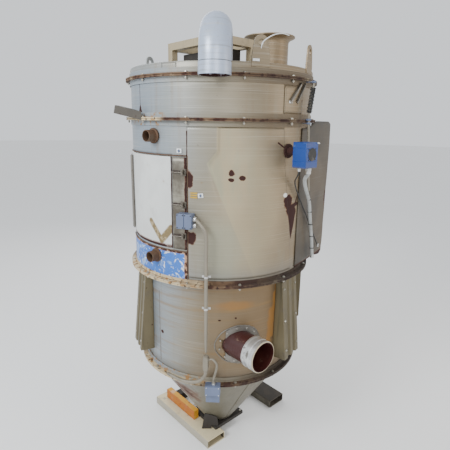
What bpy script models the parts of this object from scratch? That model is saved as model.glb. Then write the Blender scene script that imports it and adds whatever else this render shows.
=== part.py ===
"""Insulated drying hopper for plastic pellets.

A round vessel in three bolted drums with a cone below and a flat lid on top,
standing on two fork tubes. Metres, +Z up. Everything is laid out from the
vessel's axis, and the last step moves the origin to the middle of the underside.
Bearings are in degrees, seen from above: 0 points to -Y (the air inlet side),
positive turns towards +X, so -90 is the access door.
"""
import math

import bmesh
import bpy
from mathutils import Matrix, Vector

# ---- driving dimensions -------------------------------------------------
STEPS = 48               # facets round the vessel
GAP = 0.0004             # air gap between pieces that touch
PROUD = 0.0014           # gap between curved plates whose facets don't line up

DRUM_R = 0.457           # outer radius of the middle and upper drums
SKIN = 0.003             # sheet thickness of drums, lid and cone
LOWER_R = 0.413          # outer radius of the lower drum and the inner shell
LAGGING = 0.032          # thickness of the insulation round the inner shell

TUBE_H = 0.050           # fork tube height
TUBE_W = 0.130           # fork tube width
TUBE_WALL = 0.005
TUBE_LENGTH = 0.527
TUBE_FRONT_Y = -0.149    # open front end of the left fork tube
LEFT_TUBE_X = -0.207     # outer face of the left fork tube
FORK_SPREAD = 0.400      # clear distance between the fork tubes

OUTLET_R = 0.096         # outlet radius of the cone
OUTLET_PLATE = 0.222     # side of the square outlet flange
OUTLET_PLATE_T = 0.008
GATE_SLOT = 0.006        # height of the slot for the gate blade
BLADE_T = 0.004
GATE_FLOOR_T = 0.006
GATE_TRAVEL = 0.185      # opening stroke of the slide gate

CONE_HEIGHT = 0.480
LOWER_HEIGHT = 0.538
MIDDLE_HEIGHT = 0.742
UPPER_HEIGHT = 0.180
LID_SKIRT = 0.052
TOP_HEIGHT = 0.182       # material inlet above the lid

RING_OUT = 0.027         # reach of the bolted flange rings
RING_LEG = 0.022         # height of each leg of a ring above its flange
RING_T = 0.0035          # thickness of a ring's leg
LUG_BEARINGS = (-159.9, -21.1, 20.4, 158.9)
LUG_WIDTH = 0.084        # lifting lugs on the lid
LUG_HEIGHT = 0.105
LUG_T = 0.008
LUG_HOLE_R = 0.013
LUG_ROOT = 0.020         # how far the lifting lugs run down the lid's skirt
FLANGE_T = 0.0065        # thickness of one flange

DOOR_LEFT = -120.0       # bearing of the door's hinged edge
DOOR_RIGHT = -70.0       # bearing of the door's latched edge
DOOR_BOTTOM = 0.164      # door's lower edge above the bottom of the middle drum
DOOR_HEIGHT = 0.418
DOOR_GAP = 0.002         # clearance round the door
GASKET = 0.012           # width of the gasket strip
PLUG_INSET = 3.6         # degrees from the door's edge to its insulated plug
HINGE_R = 0.0075         # hinge barrel radius
PIN_R = 0.0035
PIN_CLEARANCE = 0.0004
STRIP_RIGHT = -60.6      # far edge of the bare strip beside the door

LEG_BEARINGS = (-108.0, 12.0, 132.0)
LEG_WIDTH = 0.150
LEG_TOP_REACH = 0.030    # reach of a leg at its top, from the lower drum
LEG_FOOT_REACH = 0.068   # reach at its foot
LEG_LENGTH = 0.420

INLET_R = 0.073          # air inlet tube, outer radius
INLET_X = -0.187
INLET_DROP = 0.330       # inlet axis below the top of the lower drum
INLET_REACH = 0.5266     # distance of the inlet's mouth from the vessel axis plane

NECK_R = 0.098           # material inlet
NECK_FLANGE_R = 0.130
NECK_BEARING = 59.0
NECK_RADIUS = 0.2465

LOADER_FRAME = (-0.175, 0.075, -0.168, 0.223)  # low x, high x, low y, high y
LOADER_BAR = 0.036
LOADER_DROP = 0.055      # middle of its bars below the top of the material inlet

EXHAUST_R = 0.0645       # exhaust gooseneck
EXHAUST_BEND = 0.110
EXHAUST_BEARING = -44.4
EXHAUST_FRONT = 0.558    # distance of the mouth from the vessel axis
EXHAUST_DROP = 0.075     # straight stretch down to the mouth

PORT_R = 0.026           # side ports
PORT_LENGTH = 0.048
PORT_BEARING = -82.3
PORT_UPPER_DROP = 0.073  # upper port below the top of the middle drum
PORT_LOWER_RISE = 0.112  # lower port above its bottom

SWITCH_DROP = 0.132      # level switch axis below the top of the middle drum
SWITCH_SIZE = (0.085, 0.075, 0.115)
SWITCH_STANDOFF = 0.060
SWITCH_SINK = 0.012      # how far the housing's middle hangs below the shaft
NIPPLE_R = 0.017
PADDLE_R = 0.042

JACKET_R = 1.65          # loose outer sheet: its bend, where it leaves the drum, and its reach
JACKET_BEARING = 13.4
JACKET_REACH = 0.420

CONDUIT_R = 0.009
CONDUIT_BEARING = -48.5
BOX_BEARING = -61.0
BOX_SIZE = (0.082, 0.040, 0.072)

# ---- levels, worked out from the sizes above --------------------------------
GATE_Z = TUBE_H + GAP
SLOT_Z = GATE_Z + GATE_FLOOR_T
PLATE_Z = SLOT_Z + GATE_SLOT + GAP
CONE_Z = PLATE_Z + OUTLET_PLATE_T + GAP
RING_D = CONE_Z + CONE_HEIGHT
RING_C = RING_D + LOWER_HEIGHT
RING_B = RING_C + MIDDLE_HEIGHT
RING_A = RING_B + UPPER_HEIGHT
LID_TOP = RING_A + LID_SKIRT
TOP_Z = LID_TOP + TOP_HEIGHT
DOOR_Z0 = RING_C + DOOR_BOTTOM
DOOR_Z1 = DOOR_Z0 + DOOR_HEIGHT
LAGGING_R = LOWER_R + GAP + LAGGING
SKIN_IN = DRUM_R - SKIN
RING_R = DRUM_R + RING_OUT
STRIP_IN = DRUM_R + PROUD
STRIP_OUT = STRIP_IN + 0.002

# ---- colours: base colour, metallic, roughness ---------------------------------
LOOKS = {
    "skin": ((0.62, 0.63, 0.60), 0.55, 0.45),
    "white": ((0.80, 0.80, 0.76), 0.0, 0.45),
    "tan": ((0.55, 0.50, 0.40), 0.3, 0.5),
    "olive": ((0.36, 0.32, 0.20), 0.2, 0.6),
    "rust": ((0.22, 0.10, 0.05), 0.1, 0.85),
    "dark": ((0.05, 0.045, 0.04), 0.2, 0.7),
    "cream": ((0.78, 0.75, 0.64), 0.0, 0.55),
    "yellow": ((0.80, 0.50, 0.06), 0.0, 0.6),
    "sleeve": ((0.14, 0.035, 0.03), 0.0, 0.5),
    "steel": ((0.60, 0.60, 0.60), 0.9, 0.35),
    "blue": ((0.03, 0.19, 0.62), 0.0, 0.4),
    "grey_box": ((0.45, 0.53, 0.66), 0.2, 0.5),
    "film": ((0.30, 0.52, 0.85), 0.1, 0.35),
    "rubber": ((0.03, 0.03, 0.03), 0.0, 0.7),
    "wool": ((0.55, 0.50, 0.38), 0.0, 0.9),
    "hose": ((0.66, 0.67, 0.68), 0.0, 0.6),
}

for old in list(bpy.data.objects):
    bpy.data.objects.remove(old, do_unlink=True)
parts = bpy.data.collections.new("drying_hopper")
cutters = bpy.data.collections.new("cutters")
for group in (parts, cutters):
    bpy.context.scene.collection.children.link(group)


# ---- places ------------------------------------------------------------------
def polar(bearing, radius, z=0.0):
    """A point at a bearing and a distance from the vessel's axis."""
    turn = math.radians(bearing)
    return Vector((radius * math.sin(turn), -radius * math.cos(turn), z))


def facing(bearing):
    """Local +X out from the axis, +Y along the drum, +Z up."""
    return Matrix.Rotation(math.radians(bearing - 90.0), 4, "Z")


def stand(bearing, radius, z):
    return Matrix.Translation(polar(bearing, radius, z)) @ facing(bearing)


# local XY plane stood up: X stays, Y becomes up
UPRIGHT = Matrix(((1, 0, 0, 0), (0, 0, -1, 0), (0, 1, 0, 0), (0, 0, 0, 1)))


# ---- object helpers --------------------------------------------------------------
def look(name):
    material = bpy.data.materials.get(name)
    if material is None:
        colour, metallic, roughness = LOOKS[name]
        material = bpy.data.materials.new(name)
        material.use_nodes = True
        shader = material.node_tree.nodes["Principled BSDF"]
        shader.inputs["Base Color"].default_value = (*colour, 1.0)
        shader.inputs["Metallic"].default_value = metallic
        shader.inputs["Roughness"].default_value = roughness
    return material


def add(name, mesh, finish, matrix=None, group=parts):
    """Put a mesh in the scene with its own copy of a finish."""
    obj = bpy.data.objects.new(name, mesh)
    group.objects.link(obj)
    if matrix is not None:
        obj.matrix_world = matrix
    if finish is not None:
        own = look(finish).copy()
        own.name = name
        obj.data.materials.clear()
        obj.data.materials.append(own)
    if group is cutters:
        obj.hide_render = True
        obj.display_type = "WIRE"
    return obj


def box_mesh(size, centre=(0.0, 0.0, 0.0), bevel=0.0):
    bm = bmesh.new()
    bmesh.ops.create_cube(bm, size=1.0)
    bmesh.ops.scale(bm, vec=size, verts=bm.verts)
    bmesh.ops.translate(bm, vec=centre, verts=bm.verts)
    if bevel > 0.0:
        bmesh.ops.bevel(bm, geom=bm.edges[:], offset=bevel, segments=1, affect="EDGES")
    return finish_mesh(bm)


def finish_mesh(bm, smooth=False):
    if bm.calc_volume(signed=True) < 0.0:
        bmesh.ops.reverse_faces(bm, faces=bm.faces)
    mesh = bpy.data.meshes.new("mesh")
    bm.to_mesh(mesh)
    bm.free()
    if smooth:
        mesh.shade_smooth()
        mesh.set_sharp_from_angle(angle=math.radians(35))
    return mesh


def rod_mesh(radius, length, axis="Z", start=0.0, steps=16, top_radius=None):
    """A solid cylinder or taper along an axis, from start to start + length."""
    bm = bmesh.new()
    bmesh.ops.create_cone(bm, cap_ends=True, segments=steps, radius1=radius,
                          radius2=radius if top_radius is None else top_radius, depth=length)
    bmesh.ops.translate(bm, vec=(0.0, 0.0, start + length / 2), verts=bm.verts)
    turn = {"Z": Matrix(), "X": Matrix.Rotation(math.pi / 2, 4, "Y"),
            "Y": Matrix.Rotation(-math.pi / 2, 4, "X")}[axis]
    bm.transform(turn)
    return finish_mesh(bm, smooth=True)


def turned(name, profile, finish, matrix=None, steps=STEPS, group=parts):
    """A closed profile of (radius, z) points turned round Z; outer side first, top down."""
    bm = bmesh.new()
    points = [bm.verts.new((radius, 0.0, z)) for radius, z in profile]
    for first, second in zip(points, points[1:] + points[:1]):
        bm.edges.new((first, second))
    mesh = bpy.data.meshes.new("mesh")
    bm.to_mesh(mesh)
    bm.free()
    obj = add(name, mesh, finish, matrix, group)
    screw = obj.modifiers.new("turn", "SCREW")
    screw.steps = screw.render_steps = steps
    screw.use_merge_vertices = True
    screw.merge_threshold = 0.00005
    screw.use_smooth_shade = True
    return obj


def ring_profile(inner, outer, low, high):
    return [(outer, high), (outer, low), (inner, low), (inner, high)]


def sector(name, inner, outer, left, right, low, high, finish, group=parts):
    """A curved plate between two radii, two bearings and two levels."""
    bm = bmesh.new()
    top = bm.verts.new((outer, 0.0, high))
    foot = bm.verts.new((outer, 0.0, low))
    bm.edges.new((top, foot))
    mesh = bpy.data.meshes.new("mesh")
    bm.to_mesh(mesh)
    bm.free()
    obj = add(name, mesh, finish, facing(left), group)
    screw = obj.modifiers.new("sweep", "SCREW")
    screw.angle = math.radians(right - left)
    screw.steps = screw.render_steps = max(2, round((right - left) / 360.0 * STEPS))
    screw.use_smooth_shade = True
    shell = obj.modifiers.new("thickness", "SOLIDIFY")
    shell.thickness = outer - inner
    shell.offset = -1.0
    return obj


def flat_mesh(outline, thickness):
    """A flat plate with an outline in its XY plane, centred on z = 0."""
    curve = bpy.data.curves.new("outline", "CURVE")
    curve.dimensions = "2D"
    curve.fill_mode = "BOTH"
    curve.extrude = thickness / 2
    spline = curve.splines.new("POLY")
    spline.points.add(len(outline) - 1)
    for point, (x, y) in zip(spline.points, outline):
        point.co = (x, y, 0.0, 1.0)
    spline.use_cyclic_u = True
    return curve_to_mesh(curve)


def curve_to_mesh(curve):
    holder = bpy.data.objects.new("holder", curve)
    parts.objects.link(holder)
    bpy.context.view_layer.update()
    evaluated = holder.evaluated_get(bpy.context.evaluated_depsgraph_get())
    mesh = bpy.data.meshes.new_from_object(evaluated)
    bpy.data.objects.remove(holder)
    bm = bmesh.new()
    bm.from_mesh(mesh)
    bmesh.ops.remove_doubles(bm, verts=bm.verts, dist=0.00005)
    bpy.data.meshes.remove(mesh)
    return finish_mesh(bm)


def pipe_mesh(points, radius, sides=2):
    """A solid rod bent along points."""
    curve = bpy.data.curves.new("route", "CURVE")
    curve.dimensions = "3D"
    curve.bevel_depth = radius
    curve.bevel_resolution = sides
    curve.use_fill_caps = True
    spline = curve.splines.new("POLY")
    spline.points.add(len(points) - 1)
    for point, place in zip(spline.points, points):
        point.co = (*place, 1.0)
    mesh = curve_to_mesh(curve)
    mesh.shade_smooth()
    mesh.set_sharp_from_angle(angle=math.radians(50))
    return mesh


def smooth_route(stops, per_stop=5):
    """Points along a Catmull-Rom curve through the stops."""
    stops = [Vector(stop) for stop in stops]
    ends = [2 * stops[0] - stops[1], *stops, 2 * stops[-1] - stops[-2]]
    route = []
    for before, start, end, after in zip(ends, ends[1:], ends[2:], ends[3:]):
        for step in range(per_stop):
            t = step / per_stop
            route.append(0.5 * (2 * start + (end - before) * t
                                + (2 * before - 5 * start + 4 * end - after) * t ** 2
                                + (3 * start - before - 3 * end + after) * t ** 3))
    route.append(stops[-1])
    return route


def led_route(start, leaving, stops, per_stop=4, arriving=None):
    """A smooth route that starts, and may end, with a short straight lead."""
    lead = 0.006
    stops = [start + lead * leaving, *stops]
    if arriving is None:
        return [start, *smooth_route(stops, per_stop)]
    end = stops[-1]
    stops[-1] = end - lead * arriving
    return [start, *smooth_route(stops, per_stop), end]


def boolean(obj, tool, operation="DIFFERENCE"):
    """Cut or join with another object, which becomes or stays a cutter."""
    cut = obj.modifiers.new(operation.lower(), "BOOLEAN")
    cut.operation = operation
    cut.solver = "EXACT"
    cut.object = tool
    return obj


def cutter(mesh, matrix=None):
    return add("cutter", mesh, None, matrix, cutters)


# ---- base ----------------------------------------------------------------------
def fork_tube(name, low_x, front_y):
    length = TUBE_LENGTH
    centre = (low_x + TUBE_W / 2, front_y + length / 2, TUBE_H / 2)
    tube = add(name, box_mesh((TUBE_W, length, TUBE_H), centre), "cream")
    bore = cutter(box_mesh((TUBE_W - 2 * TUBE_WALL, length + 0.1, TUBE_H - 2 * TUBE_WALL), centre))
    return boolean(tube, bore)


def build_base():
    inner_left = LEFT_TUBE_X + TUBE_W
    inner_right = inner_left + FORK_SPREAD
    fork_tube("fork_tube_left", LEFT_TUBE_X, TUBE_FRONT_Y)
    fork_tube("fork_tube_right", inner_right, TUBE_FRONT_Y)
    width = FORK_SPREAD - 2 * GAP
    for name, y in (("cross_member_front", 0.080), ("cross_member_rear", 0.320)):
        centre = (inner_left + FORK_SPREAD / 2, y, TUBE_H / 2)
        member = add(name, box_mesh((width, 0.050, TUBE_H), centre), "dark")
        boolean(member, cutter(box_mesh((width + 0.1, 0.050 - 2 * TUBE_WALL, TUBE_H - 2 * TUBE_WALL), centre)))
    block_h = 0.062
    block = box_mesh((0.038, 0.290, block_h), (LEFT_TUBE_X + 0.067, 0.185, GATE_Z + block_h / 2), 0.002)
    add("bearer_block", block, "yellow")


def build_gate():
    half = OUTLET_PLATE / 2
    bore = cutter(rod_mesh(OUTLET_R - SKIN, 0.2, start=GATE_Z - 0.1, steps=STEPS))
    floor = add("gate_body", box_mesh((OUTLET_PLATE, OUTLET_PLATE, GATE_FLOOR_T + GATE_SLOT),
                                      (0, 0, GATE_Z + (GATE_FLOOR_T + GATE_SLOT) / 2)), "dark")
    blade_w = OUTLET_PLATE - 0.020
    slot = box_mesh((blade_w + 2 * GAP, OUTLET_PLATE, GATE_SLOT + 0.01),
                    (0, 0.010, SLOT_Z + (GATE_SLOT + 0.01) / 2))
    boolean(floor, cutter(slot))
    boolean(floor, bore)
    flange = add("outlet_flange", box_mesh((OUTLET_PLATE, OUTLET_PLATE, OUTLET_PLATE_T),
                                           (0, 0, PLATE_Z + OUTLET_PLATE_T / 2)), "dark")
    boolean(flange, bore)
    reach = half + 0.035
    length = reach + half - 0.012
    blade = add("gate_blade", box_mesh((blade_w, length, BLADE_T),
                                       (0, reach - length / 2, SLOT_Z + GAP + BLADE_T / 2)), "steel")
    pull = cutter(box_mesh((0.090, 0.005, 0.034), (0, reach - 0.0025, SLOT_Z + GAP + 0.017)))
    boolean(blade, pull, "UNION")
    # upright plate that braces the cone on the left fork tube
    foot = Vector((-0.165, -0.045, 0.0))
    along = Vector((0.748, -0.664, 0.0)).normalized()
    outline = [(0.0, GATE_Z), (0.058, GATE_Z), (0.058, CONE_Z + 0.001),
               (0.098, CONE_Z + 0.001), (0.090, 0.132), (0.018, 0.156)]
    frame = Matrix(((along.x, 0, along.y, foot.x), (along.y, 0, -along.x, foot.y),
                    (0, 1, 0, 0), (0, 0, 0, 1)))
    add("outlet_gusset", flat_mesh(outline, 0.005), "dark", frame)


# ---- vessel --------------------------------------------------------------------------
def flange_ring(name, level, wall_r, reach, finish="rust", legs=(True, True)):
    """A pair of angle rings bolted back to back round a joint of the vessel."""
    inner = wall_r + GAP
    leg = inner + RING_T
    profile = [(reach, level + FLANGE_T), (reach, level - FLANGE_T)]
    if legs[1]:
        profile += [(leg, level - FLANGE_T), (leg, level - FLANGE_T - RING_LEG),
                    (inner, level - FLANGE_T - RING_LEG)]
    else:
        profile += [(inner, level - FLANGE_T)]
    if legs[0]:
        profile += [(inner, level + FLANGE_T + RING_LEG), (leg, level + FLANGE_T + RING_LEG),
                    (leg, level + FLANGE_T)]
    else:
        profile += [(inner, level + FLANGE_T)]
    return turned(name, profile, finish)


def build_vessel():
    joint = GAP / 2
    slant = SKIN / math.cos(math.atan2(LOWER_R - OUTLET_R, CONE_HEIGHT))
    turned("outlet_cone", [(LOWER_R, RING_D - joint), (OUTLET_R, CONE_Z),
                           (OUTLET_R - slant, CONE_Z), (LOWER_R - slant, RING_D - joint)], "tan")
    flange_ring("flange_ring_cone", RING_D, LOWER_R, LOWER_R + 0.030, "tan", legs=(True, False))
    lower = turned("lower_drum", ring_profile(LOWER_R - SKIN, LOWER_R, RING_D + joint, RING_C - joint), "tan")
    top = RING_B + joint + SKIN
    inner = turned("inner_shell", [(SKIN_IN, top), (SKIN_IN, RING_B + joint), (LOWER_R, RING_B + joint),
                                   (LOWER_R, RING_C + joint), (LOWER_R - SKIN, RING_C + joint),
                                   (LOWER_R - SKIN, top)], "steel")
    wool = turned("insulation", ring_profile(LOWER_R + GAP, LAGGING_R, RING_C + 0.006, RING_B - 0.006), "wool")
    skin = turned("middle_drum", ring_profile(SKIN_IN, DRUM_R, RING_C + joint, RING_B - joint), "skin")
    closer = [(RING_R, RING_C + FLANGE_T), (RING_R, RING_C - FLANGE_T), (LOWER_R + GAP + RING_T, RING_C - FLANGE_T),
              (LOWER_R + GAP + RING_T, RING_C - FLANGE_T - RING_LEG), (LOWER_R + GAP, RING_C - FLANGE_T - RING_LEG),
              (LOWER_R + GAP, RING_C - GAP), (DRUM_R + GAP, RING_C - GAP), (DRUM_R + GAP, RING_C + FLANGE_T)]
    turned("flange_ring_middle", closer, "rust")
    flange_ring("flange_ring_upper", RING_B, DRUM_R, RING_R)
    turned("upper_drum", ring_profile(SKIN_IN + GAP, DRUM_R, RING_B + joint, RING_A - joint), "skin")
    flange_ring("flange_ring_lid", RING_A, DRUM_R, RING_R - 0.004, "rust")
    build_lid()

    # stiffening fin welded to the lower drum behind the right leg
    low, high = RING_C - 0.36, RING_C - 0.045
    fin = flat_mesh([(LOWER_R - SKIN, low), (LOWER_R + 0.048, low + 0.035), (LOWER_R + 0.048, high),
                     (LOWER_R - SKIN, high)], 0.006)
    boolean(lower, cutter(fin, facing(37.0) @ UPRIGHT), "UNION")

    # door opening through skin, lagging and inner shell
    margin = math.degrees(DOOR_GAP / DRUM_R)
    window = sector("cutter", SKIN_IN - 0.006, DRUM_R + 0.02, DOOR_LEFT - margin, DOOR_RIGHT + margin,
                    DOOR_Z0 - DOOR_GAP, DOOR_Z1 + DOOR_GAP, None, cutters)
    boolean(skin, window)
    inset = PLUG_INSET - margin
    hatch = sector("cutter", LOWER_R - 0.02, DRUM_R, DOOR_LEFT + inset, DOOR_RIGHT - inset,
                   DOOR_Z0 + 0.030 - DOOR_GAP, DOOR_Z1 - 0.030 + DOOR_GAP, None, cutters)
    boolean(wool, hatch)
    boolean(inner, hatch)
    # bores of the two side ports and of the level switch
    for level in port_levels():
        for wall in (skin, wool, inner):
            boolean(wall, radial_cutter(PORT_BEARING, PORT_R + PROUD, level))
    for wall in (skin, wool, inner):
        boolean(wall, radial_cutter(0.0, NIPPLE_R + PROUD, switch_level()))
    boolean(lower, cutter(rod_mesh(INLET_R + GAP, 0.4, "Y", start=-0.6, steps=32),
                          Matrix.Translation((INLET_X, 0, inlet_level()))))


def port_levels():
    return (RING_B - PORT_UPPER_DROP, RING_C + PORT_LOWER_RISE)


def switch_level():
    return RING_B - SWITCH_DROP


def inlet_level():
    return RING_C - INLET_DROP


def radial_cutter(bearing, radius, level):
    return cutter(rod_mesh(radius, 0.3, "X", start=0.30, steps=18),
                  Matrix.Translation((0, 0, level)) @ facing(bearing))


def build_lid():
    foot = RING_A + GAP / 2
    lid = turned("lid", [(0.0, LID_TOP), (DRUM_R, LID_TOP), (DRUM_R, foot),
                         (SKIN_IN, foot), (SKIN_IN, LID_TOP - SKIN), (0.0, LID_TOP - SKIN)], "tan")
    head_r = 0.75 * LUG_WIDTH / 2
    head_z = LUG_HEIGHT - head_r
    arc = [(head_r * math.cos(a), head_z + head_r * math.sin(a))
           for a in (math.radians(15 * step) for step in range(13))]
    outline = [*arc, (-LUG_WIDTH / 2, -LUG_ROOT), (LUG_WIDTH / 2, -LUG_ROOT)]
    across = Matrix(((0, 0, 1, 0), (1, 0, 0, 0), (0, 1, 0, 0), (0, 0, 0, 1)))
    for bearing in LUG_BEARINGS:
        place = stand(bearing, SKIN_IN, LID_TOP)
        boolean(lid, cutter(flat_mesh(outline, LUG_T), place @ across), "UNION")
        boolean(lid, cutter(rod_mesh(LUG_HOLE_R, 0.1, "X", start=-0.05, steps=12),
                            place @ Matrix.Translation((0, 0, head_z))))
    neck = polar(NECK_BEARING, NECK_RADIUS)
    boolean(lid, cutter(rod_mesh(NECK_R + GAP, 0.2, start=LID_TOP - 0.1, steps=32), Matrix.Translation(neck)))
    rear = polar(EXHAUST_BEARING, EXHAUST_FRONT - 2 * EXHAUST_BEND)
    boolean(lid, cutter(rod_mesh(EXHAUST_R + GAP, 0.2, start=LID_TOP - 0.1, steps=24),
                        Matrix.Translation(rear)))


def hinge_place():
    """The door's hinge axis; local +X points out and +Y towards the door."""
    return stand(DOOR_LEFT - 1.3, DRUM_R + HINGE_R + GAP, 0.0)


# ---- access door -----------------------------------------------------------------------
def build_door():
    sector("access_door", SKIN_IN, DRUM_R, DOOR_LEFT, DOOR_RIGHT, DOOR_Z0, DOOR_Z1, "white")
    sector("door_plug", LOWER_R - SKIN, SKIN_IN - PROUD, DOOR_LEFT + PLUG_INSET, DOOR_RIGHT - PLUG_INSET,
           DOOR_Z0 + 0.030, DOOR_Z1 - 0.030, "steel")
    edge = 0.5
    inset = PLUG_INSET - 0.35
    gasket = sector("door_gasket", LAGGING_R + PROUD, SKIN_IN - PROUD, DOOR_LEFT + edge, DOOR_RIGHT - edge,
                    DOOR_Z0 + 0.003, DOOR_Z1 - 0.003, "rubber")
    boolean(gasket, sector("cutter", LAGGING_R - 0.02, DRUM_R, DOOR_LEFT + inset, DOOR_RIGHT - inset,
                           DOOR_Z0 + 0.027, DOOR_Z1 - 0.027, None, cutters))
    hinge = hinge_place()
    low, high = DOOR_Z0 + 0.02, DOOR_Z1 - 0.02
    third = (high - low) / 3
    leaf_t = 0.002
    spans = {"hinge_frame_leaf": (-1, ((low, low + third), (high - third, high))),
             "hinge_door_leaf": (1, ((low + third, high - third),))}
    bore = cutter(rod_mesh(PIN_R + PIN_CLEARANCE, 1.0, start=low - 0.1, steps=16), hinge)
    for name, (side, knuckles) in spans.items():
        swing = 1.0 if side > 0 else -1.0
        leaf_len = 0.030
        leaf = add(name, box_mesh((leaf_t, leaf_len, high - low - 2 * GAP),
                                  (-HINGE_R + leaf_t / 2 + GAP, swing * (leaf_len / 2 + 0.0035),
                                   (low + high) / 2)), "steel", hinge)
        boolean(leaf, cutter(rod_mesh(HINGE_R + GAP, 1.2, start=low - 0.1, steps=16), hinge))
        for start, end in knuckles:
            knuckle = rod_mesh(HINGE_R, end - start - 2 * GAP, start=start + GAP, steps=16)
            boolean(leaf, cutter(knuckle, hinge), "UNION")
            web = box_mesh((leaf_t, 0.006, end - start - 2 * GAP),
                           (-HINGE_R + leaf_t / 2 + GAP, swing * 0.004, (start + end) / 2))
            boolean(leaf, cutter(web, hinge), "UNION")
        boolean(leaf, bore)
    add("hinge_pin", rod_mesh(PIN_R, high - low + 0.012, start=low - 0.006, steps=16), "steel", hinge)

    sector("latch_strip", STRIP_IN, STRIP_OUT, DOOR_RIGHT + 0.8, STRIP_RIGHT, DOOR_Z0, DOOR_Z1, "tan")
    for number, share in enumerate((0.155, 0.500, 0.845), start=1):
        build_latch(number, DOOR_Z1 - share * DOOR_HEIGHT)


def build_latch(number, level):
    """A draw latch on the bare strip: a base with two ears and a lever with its hook."""
    place = stand(STRIP_RIGHT - 1.7, STRIP_OUT + GAP, level)
    ear_gap, ear_t = 0.014, 0.003
    base = add(f"latch_base_{number}", box_mesh((0.003, 0.026, 0.030), (0.0015, 0.0, 0.0)), "steel", place)
    for side in (-1, 1):
        ear = box_mesh((0.014, 0.012, ear_t), (0.0095, 0.0, side * (ear_gap + ear_t) / 2))
        boolean(base, cutter(ear, place), "UNION")
    pivot = cutter(rod_mesh(0.0025, ear_gap + 4 * ear_t, start=-(ear_gap + 4 * ear_t) / 2, steps=12),
                   place @ Matrix.Translation((0.011, 0, 0)))
    boolean(base, pivot)
    lever_place = place @ Matrix.Translation((0.011, 0, 0))
    height = ear_gap - 2 * GAP
    lever = add(f"latch_lever_{number}", rod_mesh(0.0045, height, start=-height / 2, steps=12), "steel", lever_place)
    hook = box_mesh((0.004, 0.052, 0.005), (0.0, -0.028, 0.0))
    grip = box_mesh((0.018, 0.0035, 0.011), (0.011, 0.004, 0.0))
    pin = rod_mesh(0.0021, ear_gap + 2 * ear_t + 0.003, start=-(ear_gap + 2 * ear_t + 0.003) / 2, steps=12)
    for piece in (hook, grip, pin):
        boolean(lever, cutter(piece, lever_place), "UNION")


# ---- side fittings ------------------------------------------------------------------------
def build_ports():
    for name, level in zip(("port_upper", "port_lower"), port_levels()):
        matrix = Matrix.Translation((0, 0, level)) @ facing(PORT_BEARING)
        port = add(name, rod_mesh(PORT_R, DRUM_R + PORT_LENGTH - LOWER_R + SKIN, "X",
                                  start=LOWER_R - SKIN, steps=20), "steel", matrix)
        collar = rod_mesh(PORT_R + 0.008, 0.005, "X", start=DRUM_R + 0.0035, steps=20)
        boolean(port, cutter(collar, matrix), "UNION")
        boolean(port, cutter(rod_mesh(PORT_R - 0.003, 0.4, "X", start=0.3, steps=20), matrix))
    panel = sector("film_panel", STRIP_IN, STRIP_OUT, DOOR_LEFT, STRIP_RIGHT,
                   RING_C + FLANGE_T + RING_LEG + 0.004 - 0.022, DOOR_Z0 - 0.014, "film")
    level = port_levels()[1]
    boolean(panel, radial_cutter(PORT_BEARING, PORT_R + PROUD, level))


def build_level_switch():
    level = switch_level()
    matrix = Matrix.Translation((0, 0, level)) @ facing(0.0)
    near = DRUM_R + SWITCH_STANDOFF
    width, depth, height = SWITCH_SIZE
    body = add("level_switch", box_mesh((depth, width, height), (near + depth / 2, 0, -SWITCH_SINK), 0.010), "blue", matrix)
    nipple = rod_mesh(NIPPLE_R, near + 0.02 - LOWER_R + 0.02, "X", start=LOWER_R - 0.02, steps=16)
    boolean(body, cutter(nipple, matrix), "UNION")
    plate = rod_mesh(0.033, 0.006, "X", start=DRUM_R + GAP, steps=20)
    boolean(body, cutter(plate, matrix), "UNION")
    shaft_r = 0.005
    boolean(body, cutter(rod_mesh(shaft_r + PIN_CLEARANCE, near + 0.03 - 0.2, "X", start=0.2, steps=12), matrix))
    shaft = add("level_switch_paddle", rod_mesh(shaft_r, near + 0.02 - 0.352, "X", start=0.352, steps=12),
                "steel", matrix)
    vane = box_mesh((0.030, 2 * PADDLE_R, 0.003), (0.352 + 0.016, 0, 0))
    boolean(shaft, cutter(vane, matrix), "UNION")


def build_air_inlet():
    level = inlet_level()
    matrix = Matrix.Translation((INLET_X, 0, level)) @ Matrix.Rotation(-math.pi / 2, 4, "Z")
    mouth = INLET_REACH
    wall = 0.003
    tube = add("air_inlet_tube", rod_mesh(INLET_R, mouth - 0.300, "X", start=0.300, steps=32), "sleeve", matrix)
    boolean(tube, cutter(rod_mesh(INLET_R - wall, 1.0, "X", start=0.0, steps=32), matrix))
    # wall flange that follows the drum
    collar = add("inlet_wall_flange", rod_mesh(INLET_R + 0.026, 0.12, "X", start=0.335, steps=32), "steel", matrix)
    boolean(collar, cutter(rod_mesh(INLET_R + GAP, 1.0, "X", start=0.0, steps=32), matrix))
    boolean(collar, cutter(rod_mesh(LOWER_R + GAP, 1.0, start=0.3, steps=STEPS)))
    trim = turned("cutter", ring_profile(LOWER_R + 0.006, LOWER_R + 0.4, level - 0.4, level + 0.4), None,
                  group=cutters)
    boolean(collar, trim)
    low, high = mouth - 0.075, mouth - 0.004
    band = add("inlet_collar", rod_mesh(INLET_R + 0.0045, high - low, "X", start=low, steps=32), "steel", matrix)
    boolean(band, cutter(rod_mesh(INLET_R + GAP, 1.0, "X", start=0.0, steps=32), matrix))
    # perforated air cone inside the vessel, hung from the inner wall of the lower drum
    top, bottom = inlet_level() + 0.10, RING_D + 0.06
    profile = [(0.060, top), (0.220, bottom), (0.217, bottom), (0.057, top)]
    cone = turned("air_diffuser", profile, "steel")
    strut_start, strut_end = 0.205, LOWER_R - SKIN - PROUD
    for bearing in (90, 210, 330):
        strut = box_mesh((strut_end - strut_start, 0.020, 0.004),
                         ((strut_start + strut_end) / 2, 0, bottom + 0.012))
        boolean(cone, cutter(strut, facing(bearing)), "UNION")


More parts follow.
